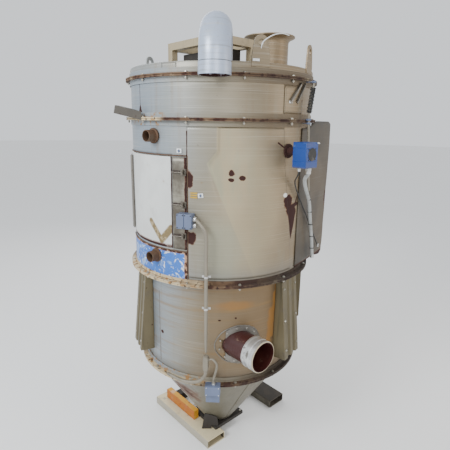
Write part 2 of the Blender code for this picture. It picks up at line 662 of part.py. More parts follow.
def build_top():
    neck_place = Matrix.Translation(polar(NECK_BEARING, NECK_RADIUS))
    low = LID_TOP - 0.020
    turned("material_inlet",
           [(NECK_FLANGE_R, TOP_Z), (NECK_FLANGE_R, TOP_Z - 0.005), (NECK_R, TOP_Z - 0.030), (NECK_R, low),
            (NECK_R - SKIN, low), (NECK_R - SKIN, TOP_Z - 0.028), (NECK_R - 0.004, TOP_Z)],
           "tan", neck_place, steps=32)
    # exhaust gooseneck, bent in the plane of its bearing
    centre_r = EXHAUST_FRONT - EXHAUST_BEND
    arch = TOP_Z - EXHAUST_R - EXHAUST_BEND
    route = [polar(EXHAUST_BEARING, EXHAUST_FRONT - 2 * EXHAUST_BEND, LID_TOP - 0.020)]
    for step in range(13):
        turn = math.pi - math.pi * step / 12
        route.append(polar(EXHAUST_BEARING, centre_r + EXHAUST_BEND * math.cos(turn),
                           arch + EXHAUST_BEND * math.sin(turn)))
    route.append(polar(EXHAUST_BEARING, EXHAUST_FRONT, arch - EXHAUST_DROP))
    elbow = add("exhaust_gooseneck", pipe_mesh(route, EXHAUST_R, sides=4), "skin")
    start, end = route[0] - Vector((0, 0, 0.05)), route[-1] - Vector((0, 0, 0.05))
    bore = cutter(pipe_mesh([start, *route[1:-1], end], EXHAUST_R - SKIN, sides=4))
    boolean(elbow, bore)
    # frame for a vacuum loader: four posts and a ring of bars
    bar, high = LOADER_BAR, TOP_Z - LOADER_DROP
    x0, x1, y0, y1 = LOADER_FRAME
    ring = add("loader_frame", box_mesh((x1 - x0, y1 - y0, bar), ((x0 + x1) / 2, (y0 + y1) / 2, high)), "tan")
    boolean(ring, cutter(box_mesh((x1 - x0 - 2 * bar, y1 - y0 - 2 * bar, 0.1),
                                  ((x0 + x1) / 2, (y0 + y1) / 2, high))))
    for x in (x0 + bar / 2, x1 - bar / 2):
        for y in (y0 + bar / 2, y1 - bar / 2):
            post_h = high - LID_TOP - GAP
            post = box_mesh((bar, bar, post_h), (x, y, LID_TOP + GAP + post_h / 2))
            boolean(ring, cutter(post), "UNION")


def build_brackets():
    for number, bearing in enumerate(LEG_BEARINGS, start=1):
        build_leg(number, bearing)
    # curved cover sheet that stands off the drum on the right
    low, high = RING_C + 0.035, RING_B - 0.038
    bm = bmesh.new()
    bm.edges.new((bm.verts.new((JACKET_R, 0, high)), bm.verts.new((JACKET_R, 0, low))))
    mesh = bpy.data.meshes.new("mesh")
    bm.to_mesh(mesh)
    bm.free()
    centre = polar(JACKET_BEARING, DRUM_R + 0.004 - JACKET_R)
    jacket = add("side_jacket", mesh, "skin", Matrix.Translation(centre) @ facing(JACKET_BEARING))
    sweep = jacket.modifiers.new("sweep", "SCREW")
    sweep.angle = JACKET_REACH / JACKET_R
    sweep.steps = sweep.render_steps = 6
    shell = jacket.modifiers.new("thickness", "SOLIDIFY")
    shell.thickness = 0.002
    shell.offset = 1.0
    # short hollow arm at the upper ring
    start, end = Vector((-0.455, -0.010, RING_B + 0.008)), Vector((-0.545, 0.105, RING_B + 0.040))
    along = (end - start).normalized()
    across = Vector((0, 0, 1)).cross(along).normalized()
    up = along.cross(across)
    frame = Matrix.Translation(start) @ Matrix((along, across, up)).transposed().to_4x4()
    length = (end - start).length
    arm = add("upper_arm", box_mesh((length, 0.044, 0.036), (length / 2, 0, 0)), "olive", frame)
    boolean(arm, cutter(box_mesh((length, 0.036, 0.028), (length / 2 + 0.03, 0, 0)), frame))
    boolean(arm, cutter(rod_mesh(RING_R + GAP, 0.4, start=RING_B - 0.2, steps=STEPS)))


def build_leg(number, bearing):
    """A splayed leg bracket of folded plate: a web and two tapered flanges."""
    plate, top = 0.004, RING_C - FLANGE_T - RING_LEG - 0.006
    foot = top - LEG_LENGTH
    outline = [(LOWER_R - 0.04, foot), (LOWER_R + LEG_FOOT_REACH, foot), (LOWER_R + LEG_TOP_REACH, top),
               (LOWER_R - 0.04, top)]
    leg = add(f"leg_bracket_{number}", flat_mesh(outline, LEG_WIDTH), "olive", facing(bearing) @ UPRIGHT)
    slope = (LEG_FOOT_REACH - LEG_TOP_REACH) / LEG_LENGTH
    back = plate * math.sqrt(1 + slope ** 2)
    hollow = [(0.2, foot - 0.1), (LOWER_R + LEG_FOOT_REACH - back + slope * 0.1, foot - 0.1),
              (LOWER_R + LEG_TOP_REACH - back - slope * 0.1, top + 0.1), (0.2, top + 0.1)]
    boolean(leg, cutter(flat_mesh(hollow, LEG_WIDTH - 2 * plate), facing(bearing) @ UPRIGHT))
    boolean(leg, cutter(rod_mesh(LOWER_R + GAP, 1.0, start=0.3, steps=STEPS)))


# ---- wiring ---------------------------------------------------------------------------
def build_wiring():
    width, depth, height = BOX_SIZE
    place = stand(BOX_BEARING, DRUM_R + 0.0045, RING_C + 0.302)
    add("junction_box", box_mesh((depth, width, height), (depth / 2, 0, 0), 0.002), "grey_box", place)
    cover_t = 0.004
    cover = box_mesh((cover_t, width + 0.004, height + 0.004), (depth + GAP + cover_t / 2, 0, 0))
    add("junction_box_cover", cover, "grey_box", place)
    # conduit from the box down the front of the vessel
    down = Vector((0, 0, -1))
    run_r = RING_R + CONDUIT_R + 0.002
    side = place.to_3x3() @ Vector((0, 1, 0))
    box_side = place @ Vector((depth / 2, width / 2 + GAP, 0.010))
    elbow_z = RING_C + 0.262
    body_z = RING_D + 0.160
    stops = [box_side + 0.020 * side, polar(CONDUIT_BEARING - 1.2, run_r, elbow_z + 0.016),
             polar(CONDUIT_BEARING, run_r, elbow_z - 0.02), polar(CONDUIT_BEARING, run_r, elbow_z - 0.10)]
    route = led_route(box_side, side, stops) + [polar(CONDUIT_BEARING, run_r, body_z + 0.040 + GAP)]
    add("conduit_upper", pipe_mesh(route, CONDUIT_R), "cream")
    body_place = stand(CONDUIT_BEARING, run_r, body_z)
    add("conduit_body", box_mesh((0.030, 0.030, 0.080), (0, 0, 0), 0.004), "cream", body_place)
    stops = [polar(CONDUIT_BEARING - 0.6, run_r, body_z - 0.070),
             polar(CONDUIT_BEARING - 5, run_r - 0.004, body_z - 0.108),
             polar(CONDUIT_BEARING - 14, run_r - 0.012, body_z - 0.124),
             polar(CONDUIT_BEARING - 26, run_r - 0.022, body_z - 0.118)]
    route = led_route(polar(CONDUIT_BEARING, run_r, body_z - 0.040 - GAP), down, stops)
    add("conduit_sweep", pipe_mesh(route, CONDUIT_R), "cream")
    low_box = stand(-44.8, LOWER_R + 0.030 + GAP, RING_D - 0.026)
    low_depth = 0.042
    add("lower_box", box_mesh((low_depth, 0.074, 0.100), (low_depth / 2, 0, 0), 0.002), "grey_box", low_box)
    top_of_box = low_box @ Vector((low_depth / 2, 0.004, 0.050 + GAP))
    out = body_place.to_3x3() @ Vector((0, 1, 0))
    body_side = body_place @ Vector((0, 0.015 + GAP, 0.020))
    stops = [body_side + 0.020 * out, body_side + 0.038 * out + Vector((0, 0, -0.030)),
             top_of_box + Vector((0, 0, 0.030)), top_of_box]
    add("flex_conduit", pipe_mesh(led_route(body_side, out, stops, 4, down), 0.0065), "cream")
    build_switch_wiring(down)


def build_switch_wiring(down):
    """Sensor tube, hose and cable on the right side of the vessel."""
    tube_r = RING_R + 0.010
    stops = [polar(15.0, tube_r + 0.008, RING_A - 0.005), polar(12.8, tube_r, RING_A - 0.110),
             polar(12.8, tube_r, RING_B - 0.030), polar(16.0, tube_r + 0.002, RING_B - 0.230),
             polar(17.6, tube_r + 0.004, RING_B - 0.330)]
    add("sensor_tube", pipe_mesh(smooth_route(stops, 4), 0.006), "cream")
    level = switch_level()
    under = level - SWITCH_SINK - SWITCH_SIZE[2] / 2 - GAP
    hose_top = Vector((0.026, -(DRUM_R + SWITCH_STANDOFF + 0.040), under))
    stops = [hose_top + Vector((0.004, 0.0, -0.024)), polar(6.5, DRUM_R + 0.062, level - 0.130),
             polar(12.0, DRUM_R + 0.048, level - 0.185), polar(20.0, DRUM_R + 0.041, level - 0.255),
             polar(24.5, DRUM_R + 0.042, level - 0.350), polar(28.5, DRUM_R + 0.050, level - 0.460),
             polar(31.0, DRUM_R + 0.056, RING_C + 0.048)]
    add("switch_hose", pipe_mesh(led_route(hose_top, down, stops), 0.0095), "hose")
    cable_top = Vector((-0.028, -(DRUM_R + SWITCH_STANDOFF + 0.030), under))
    stops = [cable_top + Vector((0.0, 0.004, -0.030)), polar(3.0, DRUM_R + 0.030, level - 0.140),
             polar(8.0, DRUM_R + 0.020, level - 0.195), polar(15.0, DRUM_R + 0.016, level - 0.255),
             polar(24.0, DRUM_R + 0.022, level - 0.330), polar(34.0, DRUM_R + 0.046, level - 0.430),
             polar(43.0, DRUM_R + 0.086, RING_C + 0.080)]
    add("switch_cable", pipe_mesh(led_route(cable_top, down, stops), 0.0032), "rubber")


# ---- the joint of the door, and the origin --------------------------------------------
def hang(objects, empty_name, place):
    """Parent objects to an empty without moving them."""
    empty = bpy.data.objects.new(empty_name, None)
    parts.objects.link(empty)
    empty.matrix_world = place
    bpy.context.view_layer.update()
    for obj in objects:
        obj.parent = empty
        obj.matrix_parent_inverse = place.inverted()
    return empty


def centre_on_origin():
    """Shift everything so that the middle of the model's underside is at the origin."""
    bpy.context.view_layer.update()
    graph = bpy.context.evaluated_depsgraph_get()
    places = []
    for obj in parts.objects:
        if obj.type == "MESH":
            shape = obj.evaluated_get(graph)
            places += [obj.matrix_world @ vertex.co for vertex in shape.data.vertices]
    low = Vector(min(place[axis] for place in places) for axis in range(3))
    high = Vector(max(place[axis] for place in places) for axis in range(3))
    loose = [obj for group in (parts, cutters) for obj in group.objects if obj.parent is None]
    footing = hang(loose, "footing", Matrix())
    footing.location = (-(low.x + high.x) / 2, -(low.y + high.y) / 2, -low.z)


build_base()
build_gate()
build_vessel()
build_door()
build_ports()
build_level_switch()
build_air_inlet()
build_top()
build_brackets()
build_wiring()
hang([parts.objects[name] for name in ("access_door", "door_plug", "door_gasket", "hinge_door_leaf")],
     "door_hinge_axis", hinge_place())
centre_on_origin()
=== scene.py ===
"""Looks of the insulated drying hopper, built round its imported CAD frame.

Metres, +Z up. Bearings are in degrees about the vessel's axis, seen from above:
0 points to -Y (the air inlet side) and positive turns towards +X.
"""
import math
import random

import bmesh
import bpy
from mathutils import Matrix, Vector, noise


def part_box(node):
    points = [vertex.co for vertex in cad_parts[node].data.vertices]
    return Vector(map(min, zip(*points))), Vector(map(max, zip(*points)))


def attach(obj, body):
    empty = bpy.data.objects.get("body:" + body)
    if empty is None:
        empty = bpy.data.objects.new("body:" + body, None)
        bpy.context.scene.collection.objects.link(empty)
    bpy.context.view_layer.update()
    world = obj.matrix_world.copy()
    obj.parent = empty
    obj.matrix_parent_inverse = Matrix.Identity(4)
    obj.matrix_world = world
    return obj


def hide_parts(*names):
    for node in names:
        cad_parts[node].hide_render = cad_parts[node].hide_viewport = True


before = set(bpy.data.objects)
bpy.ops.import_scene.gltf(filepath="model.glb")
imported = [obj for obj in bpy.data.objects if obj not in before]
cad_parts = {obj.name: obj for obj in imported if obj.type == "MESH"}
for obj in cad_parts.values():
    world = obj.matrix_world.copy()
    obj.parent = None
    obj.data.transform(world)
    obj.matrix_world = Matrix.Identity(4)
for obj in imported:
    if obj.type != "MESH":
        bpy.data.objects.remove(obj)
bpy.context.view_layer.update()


# ---- places, read from the frame -----------------------------------------------------
def low(node):
    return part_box(node)[0]


def high(node):
    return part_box(node)[1]


def middle(node):
    return (low(node) + high(node)) / 2


AXIS = Vector((middle("upper_drum").x, middle("upper_drum").y, 0.0))
DRUM_R = (high("upper_drum").x - low("upper_drum").x) / 2
LOWER_R = (high("outlet_cone").x - low("outlet_cone").x) / 2
RING_A = high("upper_drum").z
RING_B = low("upper_drum").z
RING_C = low("middle_drum").z
RING_D = high("outlet_cone").z
CONE_Z = low("outlet_cone").z
LID_TOP = low("loader_frame").z
TOP_Z = high("material_inlet").z
DOOR_Z0 = low("access_door").z
DOOR_Z1 = high("access_door").z

SKIN = 0.003             # sheet thickness
OUTLET_R = 0.096
RING_OUT = 0.027         # reach of the flange rings
RING_R = DRUM_R + RING_OUT
RING_LEG = 0.022
RING_T = 0.0035
FLANGE_T = 0.0065
LEG_GAP = 0.0004
ROUND_STEPS = 144
DOOR_LEFT = -120.0       # bearings of the door and of the bare strip beside it
DOOR_RIGHT = -70.0
STRIP_RIGHT = -60.6
SWITCH_Z = middle("level_switch_paddle").z
INLET = middle("air_inlet_tube")
INLET_R = (high("air_inlet_tube").x - low("air_inlet_tube").x) / 2
CAMERA_BEARING = -41.6
BOLT_BEARINGS = [30.0 * turn for turn in range(12)]
PORT_BEARING = -82.3
PORT_HOLE_R = 0.0265
LUG_BEARINGS = (-159.9, -21.1, 20.4, 158.9)
FRONT_LUG = LUG_BEARINGS[1]
LEG_BEARINGS = (-108.0, 12.0, 132.0)
CONDUIT_BEARING = -48.5
EXHAUST_BEARING = -44.4
EXHAUST_FRONT = 0.558    # distance of the exhaust's mouth from the axis
EXHAUST_BEND = 0.110
EXHAUST_R = 0.0645
SWITCH_MID_Z = SWITCH_Z - 0.012
LATCH_LEVERS = ("latch_lever_1", "latch_lever_2", "latch_lever_3")
JACKET_BEARING = 13.4    # where the loose outer sheet leaves the drum
JACKET_FAR = Vector((0.545, -0.265, 0.0))

TO_X = Matrix.Rotation(math.pi / 2, 4, "Y")     # lays local +Z along +X
TO_Y = Matrix.Rotation(-math.pi / 2, 4, "X")    # lays local +Z along +Y
FACE_X = Matrix(((0, 0, 1, 0), (1, 0, 0, 0), (0, 1, 0, 0), (0, 0, 0, 1)))   # a flat outline turned to face +X


def polar(bearing, radius, z=0.0):
    """A point at a bearing and a distance from the vessel's axis."""
    turn = math.radians(bearing)
    return AXIS + Vector((radius * math.sin(turn), -radius * math.cos(turn), z))


def stand(bearing, radius, z):
    """Local +X out from the axis, +Y along the drum towards larger bearings, +Z up."""
    turn = Matrix.Rotation(math.radians(bearing - 90.0), 4, "Z")
    return Matrix.Translation(polar(bearing, radius, z)) @ turn


def ramp(value, start, end):
    """0 before start, 1 after end, smooth between them."""
    share = max(0.0, min(1.0, (value - start) / (end - start)))
    return share * share * (3.0 - 2.0 * share)


DENT_Z = 1.647           # tip of the creased dent in the front sheet
DENT_BEARING = -49.2


# ---- materials -----------------------------------------------------------------------
RUST = (0.036, 0.007, 0.004)
DARK_RUST = (0.022, 0.006, 0.004)
OCHRE = (0.30, 0.135, 0.022)
CREAM = (0.58, 0.47, 0.29)
GRIME = (0.10, 0.085, 0.06)
WARM = (0.235, 0.165, 0.09)
SKY_REFLECTION_BLUE = (0.27, 0.325, 0.385)
MID_GREY = (0.27, 0.245, 0.185)


class Surface:
    """A Principled material whose colour, roughness and metal are laid on in procedural layers."""

    def __init__(self, name, colour, metallic=0.0, roughness=0.5):
        self.material = bpy.data.materials.new(name)
        self.material.use_nodes = True
        self.tree = self.material.node_tree
        self.shader = self.tree.nodes["Principled BSDF"]
        self.place = self.node("ShaderNodeTexCoord").outputs["Object"]
        self.colour = (*colour, 1.0)
        self.roughness = roughness
        self.metallic = metallic
        self.height = None

    def node(self, kind, **settings):
        made = self.tree.nodes.new(kind)
        for key, value in settings.items():
            setattr(made, key, value)
        return made

    def put(self, socket, value):
        if isinstance(value, bpy.types.NodeSocket):
            self.tree.links.new(value, socket)
        else:
            socket.default_value = value

    def math(self, operation, *values):
        made = self.node("ShaderNodeMath", operation=operation)
        for socket, value in zip(made.inputs, values):
            self.put(socket, value)
        return made.outputs[0]

    def vector(self, operation, *values):
        made = self.node("ShaderNodeVectorMath", operation=operation)
        for socket, value in zip(made.inputs, values):
            self.put(socket, value)
        return made.outputs["Value" if operation in ("LENGTH", "DOT_PRODUCT", "DISTANCE") else "Vector"]

    def noise(self, scale, detail=4.0, rough=0.55, stretch=(1.0, 1.0, 1.0), distortion=0.0, shift=0.0):
        made = self.node("ShaderNodeTexNoise")
        moved = self.vector("ADD", self.vector("MULTIPLY", self.place, stretch), (shift, shift, shift))
        self.put(made.inputs["Vector"], moved)
        made.inputs["Scale"].default_value = scale
        made.inputs["Detail"].default_value = detail
        made.inputs["Roughness"].default_value = rough
        made.inputs["Distortion"].default_value = distortion
        return made.outputs[0]

    def cells(self, scale, stretch=(1.0, 1.0, 1.0)):
        made = self.node("ShaderNodeTexVoronoi")
        self.put(made.inputs["Vector"], self.vector("MULTIPLY", self.place, stretch))
        made.inputs["Scale"].default_value = scale
        return made.outputs["Distance"]

    def step(self, value, start, end):
        """A smooth step from 0 at start to 1 at end; start may be the larger."""
        made = self.node("ShaderNodeMapRange", interpolation_type="SMOOTHSTEP")
        self.put(made.inputs["Value"], value)
        made.inputs["From Min"].default_value = min(start, end)
        made.inputs["From Max"].default_value = max(start, end)
        made.inputs["To Min"].default_value = 0.0 if start < end else 1.0
        made.inputs["To Max"].default_value = 1.0 if start < end else 0.0
        return made.outputs[0]

    def along(self, direction, start, end):
        """A smooth step along a direction across the object."""
        return self.step(self.vector("DOT_PRODUCT", self.place, direction), start, end)

    def up(self, start, end):
        """A smooth step up the vessel."""
        return self.along((0, 0, 1), start, end)

    def spot(self, centre, reach, ragged=0.5, soft=0.25, grain=45.0):
        """A ragged patch round a place; reach is its half size along X, Y and Z."""
        offset = self.vector("SUBTRACT", self.place, centre)
        distance = self.vector("LENGTH", self.vector("MULTIPLY", offset, tuple(1.0 / size for size in reach)))
        wobble = self.math("MULTIPLY_ADD", self.noise(grain), 2.0 * ragged, -ragged)
        return self.step(self.math("ADD", distance, wobble), 1.0 + soft, 1.0 - soft)

    def stroke(self, start, end, width, ragged=0.3, soft=0.3, grain=60.0, taper=0.0):
        """A ragged line between two places; taper narrows it towards its end."""
        start, end = Vector(start), Vector(end)
        run = end - start
        offset = self.vector("SUBTRACT", self.place, tuple(start))
        share = self.math("DIVIDE", self.vector("DOT_PRODUCT", offset, tuple(run)), run.length_squared)
        share = self.math("MINIMUM", self.math("MAXIMUM", share, 0.0), 1.0)
        reached = self.node("ShaderNodeVectorMath", operation="SCALE")
        reached.inputs[0].default_value = tuple(run)
        self.put(reached.inputs["Scale"], share)
        distance = self.vector("DISTANCE", offset, reached.outputs[0])
        wide = self.math("MULTIPLY_ADD", share, -taper * width, width)
        ratio = self.math("DIVIDE", distance, wide)
        wobble = self.math("MULTIPLY_ADD", self.noise(grain), 2.0 * ragged, -ragged)
        return self.step(self.math("ADD", ratio, wobble), 1.0 + soft, 1.0 - soft)

    def most(self, *masks):
        total = masks[0]
        for mask in masks[1:]:
            total = self.math("MAXIMUM", total, mask)
        return total

    def layer(self, mask, colour, strength=1.0, roughness=None, metallic=None):
        """Lay a colour over what is there, where the mask is 1."""
        share = mask if strength == 1.0 else self.math("MULTIPLY", mask, strength)
        mix = self.node("ShaderNodeMixRGB")
        self.put(mix.inputs["Fac"], share)
        self.put(mix.inputs["Color1"], self.colour)
        self.put(mix.inputs["Color2"], (*colour, 1.0))
        self.colour = mix.outputs[0]
        if roughness is not None:
            self.roughness = self.blend(share, self.roughness, roughness)
        if metallic is not None:
            self.metallic = self.blend(share, self.metallic, metallic)
        return self

    def blend(self, share, old, new):
        mix = self.node("ShaderNodeMix", data_type="FLOAT")
        self.put(mix.inputs[0], share)
        self.put(mix.inputs[2], old)
        self.put(mix.inputs[3], new)
        return mix.outputs[0]

    def vary(self, mask, amount):
        """Shift the roughness up and down with a mask centred on 0.5."""
        shift = self.math("MULTIPLY_ADD", mask, 2.0 * amount, -amount)
        self.roughness = self.math("ADD", shift, self.roughness)
        return self

    def raise_by(self, mask, amount):
        """Add to the height that drives the bump; amount is in metres."""
        part = self.math("MULTIPLY", mask, amount)
        self.height = part if self.height is None else self.math("ADD", self.height, part)
        return self

    def done(self):
        self.put(self.shader.inputs["Base Color"], self.colour)
        self.put(self.shader.inputs["Roughness"], self.roughness)
        self.put(self.shader.inputs["Metallic"], self.metallic)
        if self.height is not None:
            bump = self.node("ShaderNodeBump")
            bump.inputs["Distance"].default_value = 1.0
            self.put(bump.inputs["Height"], self.height)
            self.put(self.shader.inputs["Normal"], bump.outputs[0])
        return self.material


# This direction runs square to the camera's line of sight; colour laid along it is painted reflection and
# painted shade.
ACROSS = (0.7395, -0.6735, 0.0)   # from the door side of the vessel to the level switch side
ACROSS_MID = AXIS.dot(Vector(ACROSS))


def brushed_sheet(name, sky_reflection_share=1.0, tan_reflection_share=1.0, metallic=0.40, roughness=0.45,
                  grain=(2.0, 2.0, 260.0),
                  base=MID_GREY):
    """Stained stainless sheet, brushed one way, with painted reflection: sky-blue on the door side, tan on
    the other.
    """
    skin = Surface(name, base, metallic, roughness)
    drift = skin.math("MULTIPLY_ADD", skin.noise(2.2, 3.0), 0.40, -0.20)
    across = skin.math("ADD", skin.vector("DOT_PRODUCT", skin.place, ACROSS), drift)
    # painted reflection: sky-blue on the side to the camera's left, tan on the side to its right
    skin.layer(skin.step(across, ACROSS_MID - 0.02, ACROSS_MID - 0.34), SKY_REFLECTION_BLUE, 0.85 * sky_reflection_share)
    skin.layer(skin.step(across, ACROSS_MID - 0.12, ACROSS_MID + 0.36), WARM, 0.75 * tan_reflection_share)
    skin.layer(skin.step(skin.noise(1.0, 3.0, stretch=(26.0, 26.0, 1.3)), 0.52, 0.74), WARM, 0.35)
    skin.layer(skin.step(skin.noise(1.0, 4.0, stretch=(9.0, 9.0, 2.2), shift=3.0), 0.55, 0.75),
               (0.24, 0.26, 0.23), 0.35)
    lines = skin.noise(1.0, 3.0, 0.7, stretch=grain)
    skin.layer(skin.step(lines, 0.54, 0.70), (0.17, 0.145, 0.10), 0.38)
    skin.layer(skin.step(lines, 0.46, 0.30), (0.52, 0.50, 0.44), 0.35)
    skin.layer(skin.step(skin.noise(90.0, 2.0), 0.70, 0.76), GRIME, 0.35, 0.8)
    skin.vary(skin.noise(7.0, 4.0), 0.10)
    skin.raise_by(lines, 0.00012).raise_by(skin.noise(5.0, 3.0), 0.0016)
    return skin


def rust_over(surface, masks):
    """Dark red-brown rust with a paler rim and a rough face."""
    mask = surface.most(*masks)
    surface.layer(surface.step(mask, 0.05, 0.5), (0.13, 0.045, 0.015), 0.75, 0.8, 0.0)
    surface.layer(surface.step(mask, 0.35, 0.75), RUST, 1.0, 0.92, 0.0)
    surface.layer(surface.math("MULTIPLY", surface.step(mask, 0.5, 1.0), surface.noise(70.0)), DARK_RUST, 1.0)
    surface.raise_by(mask, -0.0008)
    return surface


def drum_point(bearing, z, radius=None):
    """A place on the drum's face, for masks; another radius may be given."""
    return tuple(polar(bearing, DRUM_R if radius is None else radius, z))


def middle_drum_material():
    skin = brushed_sheet("middle_drum_sheet")
    skin.layer(skin.spot(drum_point(-25.0, 1.42), (0.16, 0.16, 0.30), 0.5, 0.45, 5.0), (0.40, 0.325, 0.205),
               0.6)
    skin.layer(skin.spot(drum_point(-39.0, 1.25), (0.07, 0.07, 0.16), 0.5, 0.5, 8.0), (0.29, 0.315, 0.24),
               0.45)
    skin.layer(skin.up(RING_C + 0.11, RING_C + 0.02), (0.20, 0.20, 0.19), 0.5)
    skin.layer(skin.stroke(drum_point(-52.0, 1.565), drum_point(2.0, 1.560), 0.004, 0.5, 0.6, 30.0),
               (0.24, 0.16, 0.08), 0.5)
    # Tan painted reflection on the dented face: cut by the dent's crease, fading towards the camera's right,
    # with greener mottled painted reflection inside it.
    tip = Vector(drum_point(DENT_BEARING, DENT_Z))
    above = Vector((*ACROSS[:2], -0.80))
    below = Vector((*ACROSS[:2], 0.42))
    beyond = Vector(ACROSS).dot(tip) + 0.043
    upper = skin.most(skin.along(tuple(above), above.dot(tip) - 0.002, above.dot(tip) + 0.004),
                      skin.along(ACROSS, beyond - 0.003, beyond + 0.003))
    inside = skin.math("MULTIPLY", upper,
                       skin.along(tuple(below), below.dot(tip) - 0.002, below.dot(tip) + 0.004))
    inside = skin.math("MULTIPLY", inside, skin.along(ACROSS, ACROSS_MID + 0.24, ACROSS_MID))
    skin.layer(inside, (0.42, 0.345, 0.215), 0.60)
    skin.layer(skin.math("MULTIPLY", inside,
                         skin.step(skin.noise(1.0, 4.0, stretch=(12.0, 12.0, 2.5)), 0.48, 0.62)),
               (0.27, 0.29, 0.21), 0.5)
    seam = STRIP_RIGHT + 1.6
    masks = [
        skin.spot(drum_point(-35.6, 1.607), (0.014, 0.014, 0.016), 0.5),
        skin.spot(drum_point(-29.6, 1.586), (0.015, 0.015, 0.010), 0.6),
        skin.spot(drum_point(-35.8, 1.578), (0.012, 0.012, 0.008), 0.7),
        skin.spot(drum_point(2.6, 1.462), (0.030, 0.030, 0.034), 0.5),
        skin.spot(drum_point(5.6, 1.420), (0.036, 0.036, 0.028), 0.5),
        skin.spot(drum_point(10.6, 1.443), (0.024, 0.024, 0.010), 0.5),
        skin.stroke(drum_point(9.0, 1.425), drum_point(13.5, 1.492), 0.008, 0.3, 0.2, 60.0, 0.6),
        skin.stroke(drum_point(7.2, 1.402), drum_point(7.4, 1.275), 0.036, 0.12, 0.15, 30.0, 0.97),
        skin.spot(drum_point(seam, 1.575), (0.018, 0.018, 0.036), 0.5),
        skin.spot(drum_point(seam + 0.8, 1.312), (0.026, 0.026, 0.028), 0.5),
        skin.stroke(drum_point(seam - 1.2, RING_C + 0.05), drum_point(seam - 1.2, RING_B - 0.05), 0.0028, 0.9,
                    0.4, 25.0),
        skin.stroke(drum_point(-8.0, 1.735), drum_point(-3.8, 1.716), 0.004, 0.4),
    ]
    rust_over(skin, masks)
    skin.layer(skin.spot(drum_point(-0.4, 1.497), (0.014, 0.014, 0.010), 0.15), (0.80, 0.79, 0.74), 0.9, 0.6,
               0.0)
    return skin.done()


def upper_drum_material():
    skin = brushed_sheet("upper_drum_sheet")
    rust_over(skin, [
        skin.stroke(drum_point(-96.0, RING_B + 0.030), drum_point(-96.0, RING_B + 0.060), 0.016, 0.25, 0.2,
                    60.0, 0.8),
        skin.stroke(drum_point(-96.0, RING_B + 0.05), drum_point(-96.0, RING_A - 0.03), 0.0022, 0.5),
        skin.step(skin.math("ADD", skin.noise(24.0), skin.up(RING_B + 0.05, RING_B)), 1.28, 1.42),
    ])
    return skin.done()


def lower_drum_material():
    skin = brushed_sheet("lower_drum_sheet", 0.9, 1.35, 0.5, 0.45)
    wall = LOWER_R
    # painted shade: darker brown on the side to the camera's right
    skin.layer(skin.along(ACROSS, ACROSS_MID - 0.26, ACROSS_MID + 0.02), (0.18, 0.115, 0.055), 0.70)
    skin.layer(skin.step(skin.noise(1.0, 4.0, stretch=(3.0, 3.0, 34.0), shift=1.0), 0.50, 0.72),
               (0.25, 0.155, 0.065), 0.6)
    skin.layer(skin.spot(drum_point(-31.0, 0.965, wall), (0.09, 0.09, 0.022), 0.6, 0.5, 12.0), OCHRE, 0.55,
               0.6, 0.1)
    streaks = ((2.5, 1.04, 0.90, 0.008), (1.0, 0.99, 0.76, 0.010), (-2.0, 0.90, 0.74, 0.016),
               (6.5, 1.05, 0.86, 0.006))
    for bearing, top, foot, width in streaks:
        streak = skin.stroke(drum_point(bearing, top, wall), drum_point(bearing - 1.2, foot, wall), width,
                             0.7, 0.6, 35.0)
        skin.layer(streak, OCHRE, 0.75, 0.7, 0.0)
    weld = skin.stroke(drum_point(-89.0, 0.985, wall), drum_point(-89.0, 0.60, wall), 0.005, 0.9, 0.4, 38.0)
    skin.layer(weld, (0.16, 0.15, 0.14), 0.85, 0.7, 0.2)
    skin.layer(skin.up(RING_D + 0.085, RING_D + 0.02), (0.15, 0.13, 0.10), 0.6)
    rust_over(skin, [
        skin.spot(drum_point(-41.1, 0.892, wall), (0.007, 0.007, 0.004), 0.4),
        skin.spot(drum_point(-30.1, 0.901, wall), (0.005, 0.005, 0.005), 0.4),
        skin.spot(drum_point(-86.3, 0.767, wall), (0.010, 0.010, 0.009), 0.3),
        skin.step(skin.math("ADD", skin.noise(20.0), skin.up(RING_C - 0.05, RING_C)), 1.36, 1.5),
    ])
    skin.raise_by(weld, 0.0006)
    return skin.done()


def plain_sheet_material(name, sky_reflection_amount=1.0, tan_reflection_amount=1.0, edge_rust=0.0, low_edge=0.0):
    """Brushed sheet with scattered rust and painted reflection; edge_rust is the height of a rusty lower
    edge.
    """
    skin = brushed_sheet(name, sky_reflection_amount, tan_reflection_amount)
    masks = [skin.step(skin.noise(14.0, 5.0), 0.70, 0.80)]
    if edge_rust:
        masks.append(skin.math("MULTIPLY", skin.up(low_edge + edge_rust, low_edge), skin.noise(30.0)))
    return rust_over(skin, masks).done()


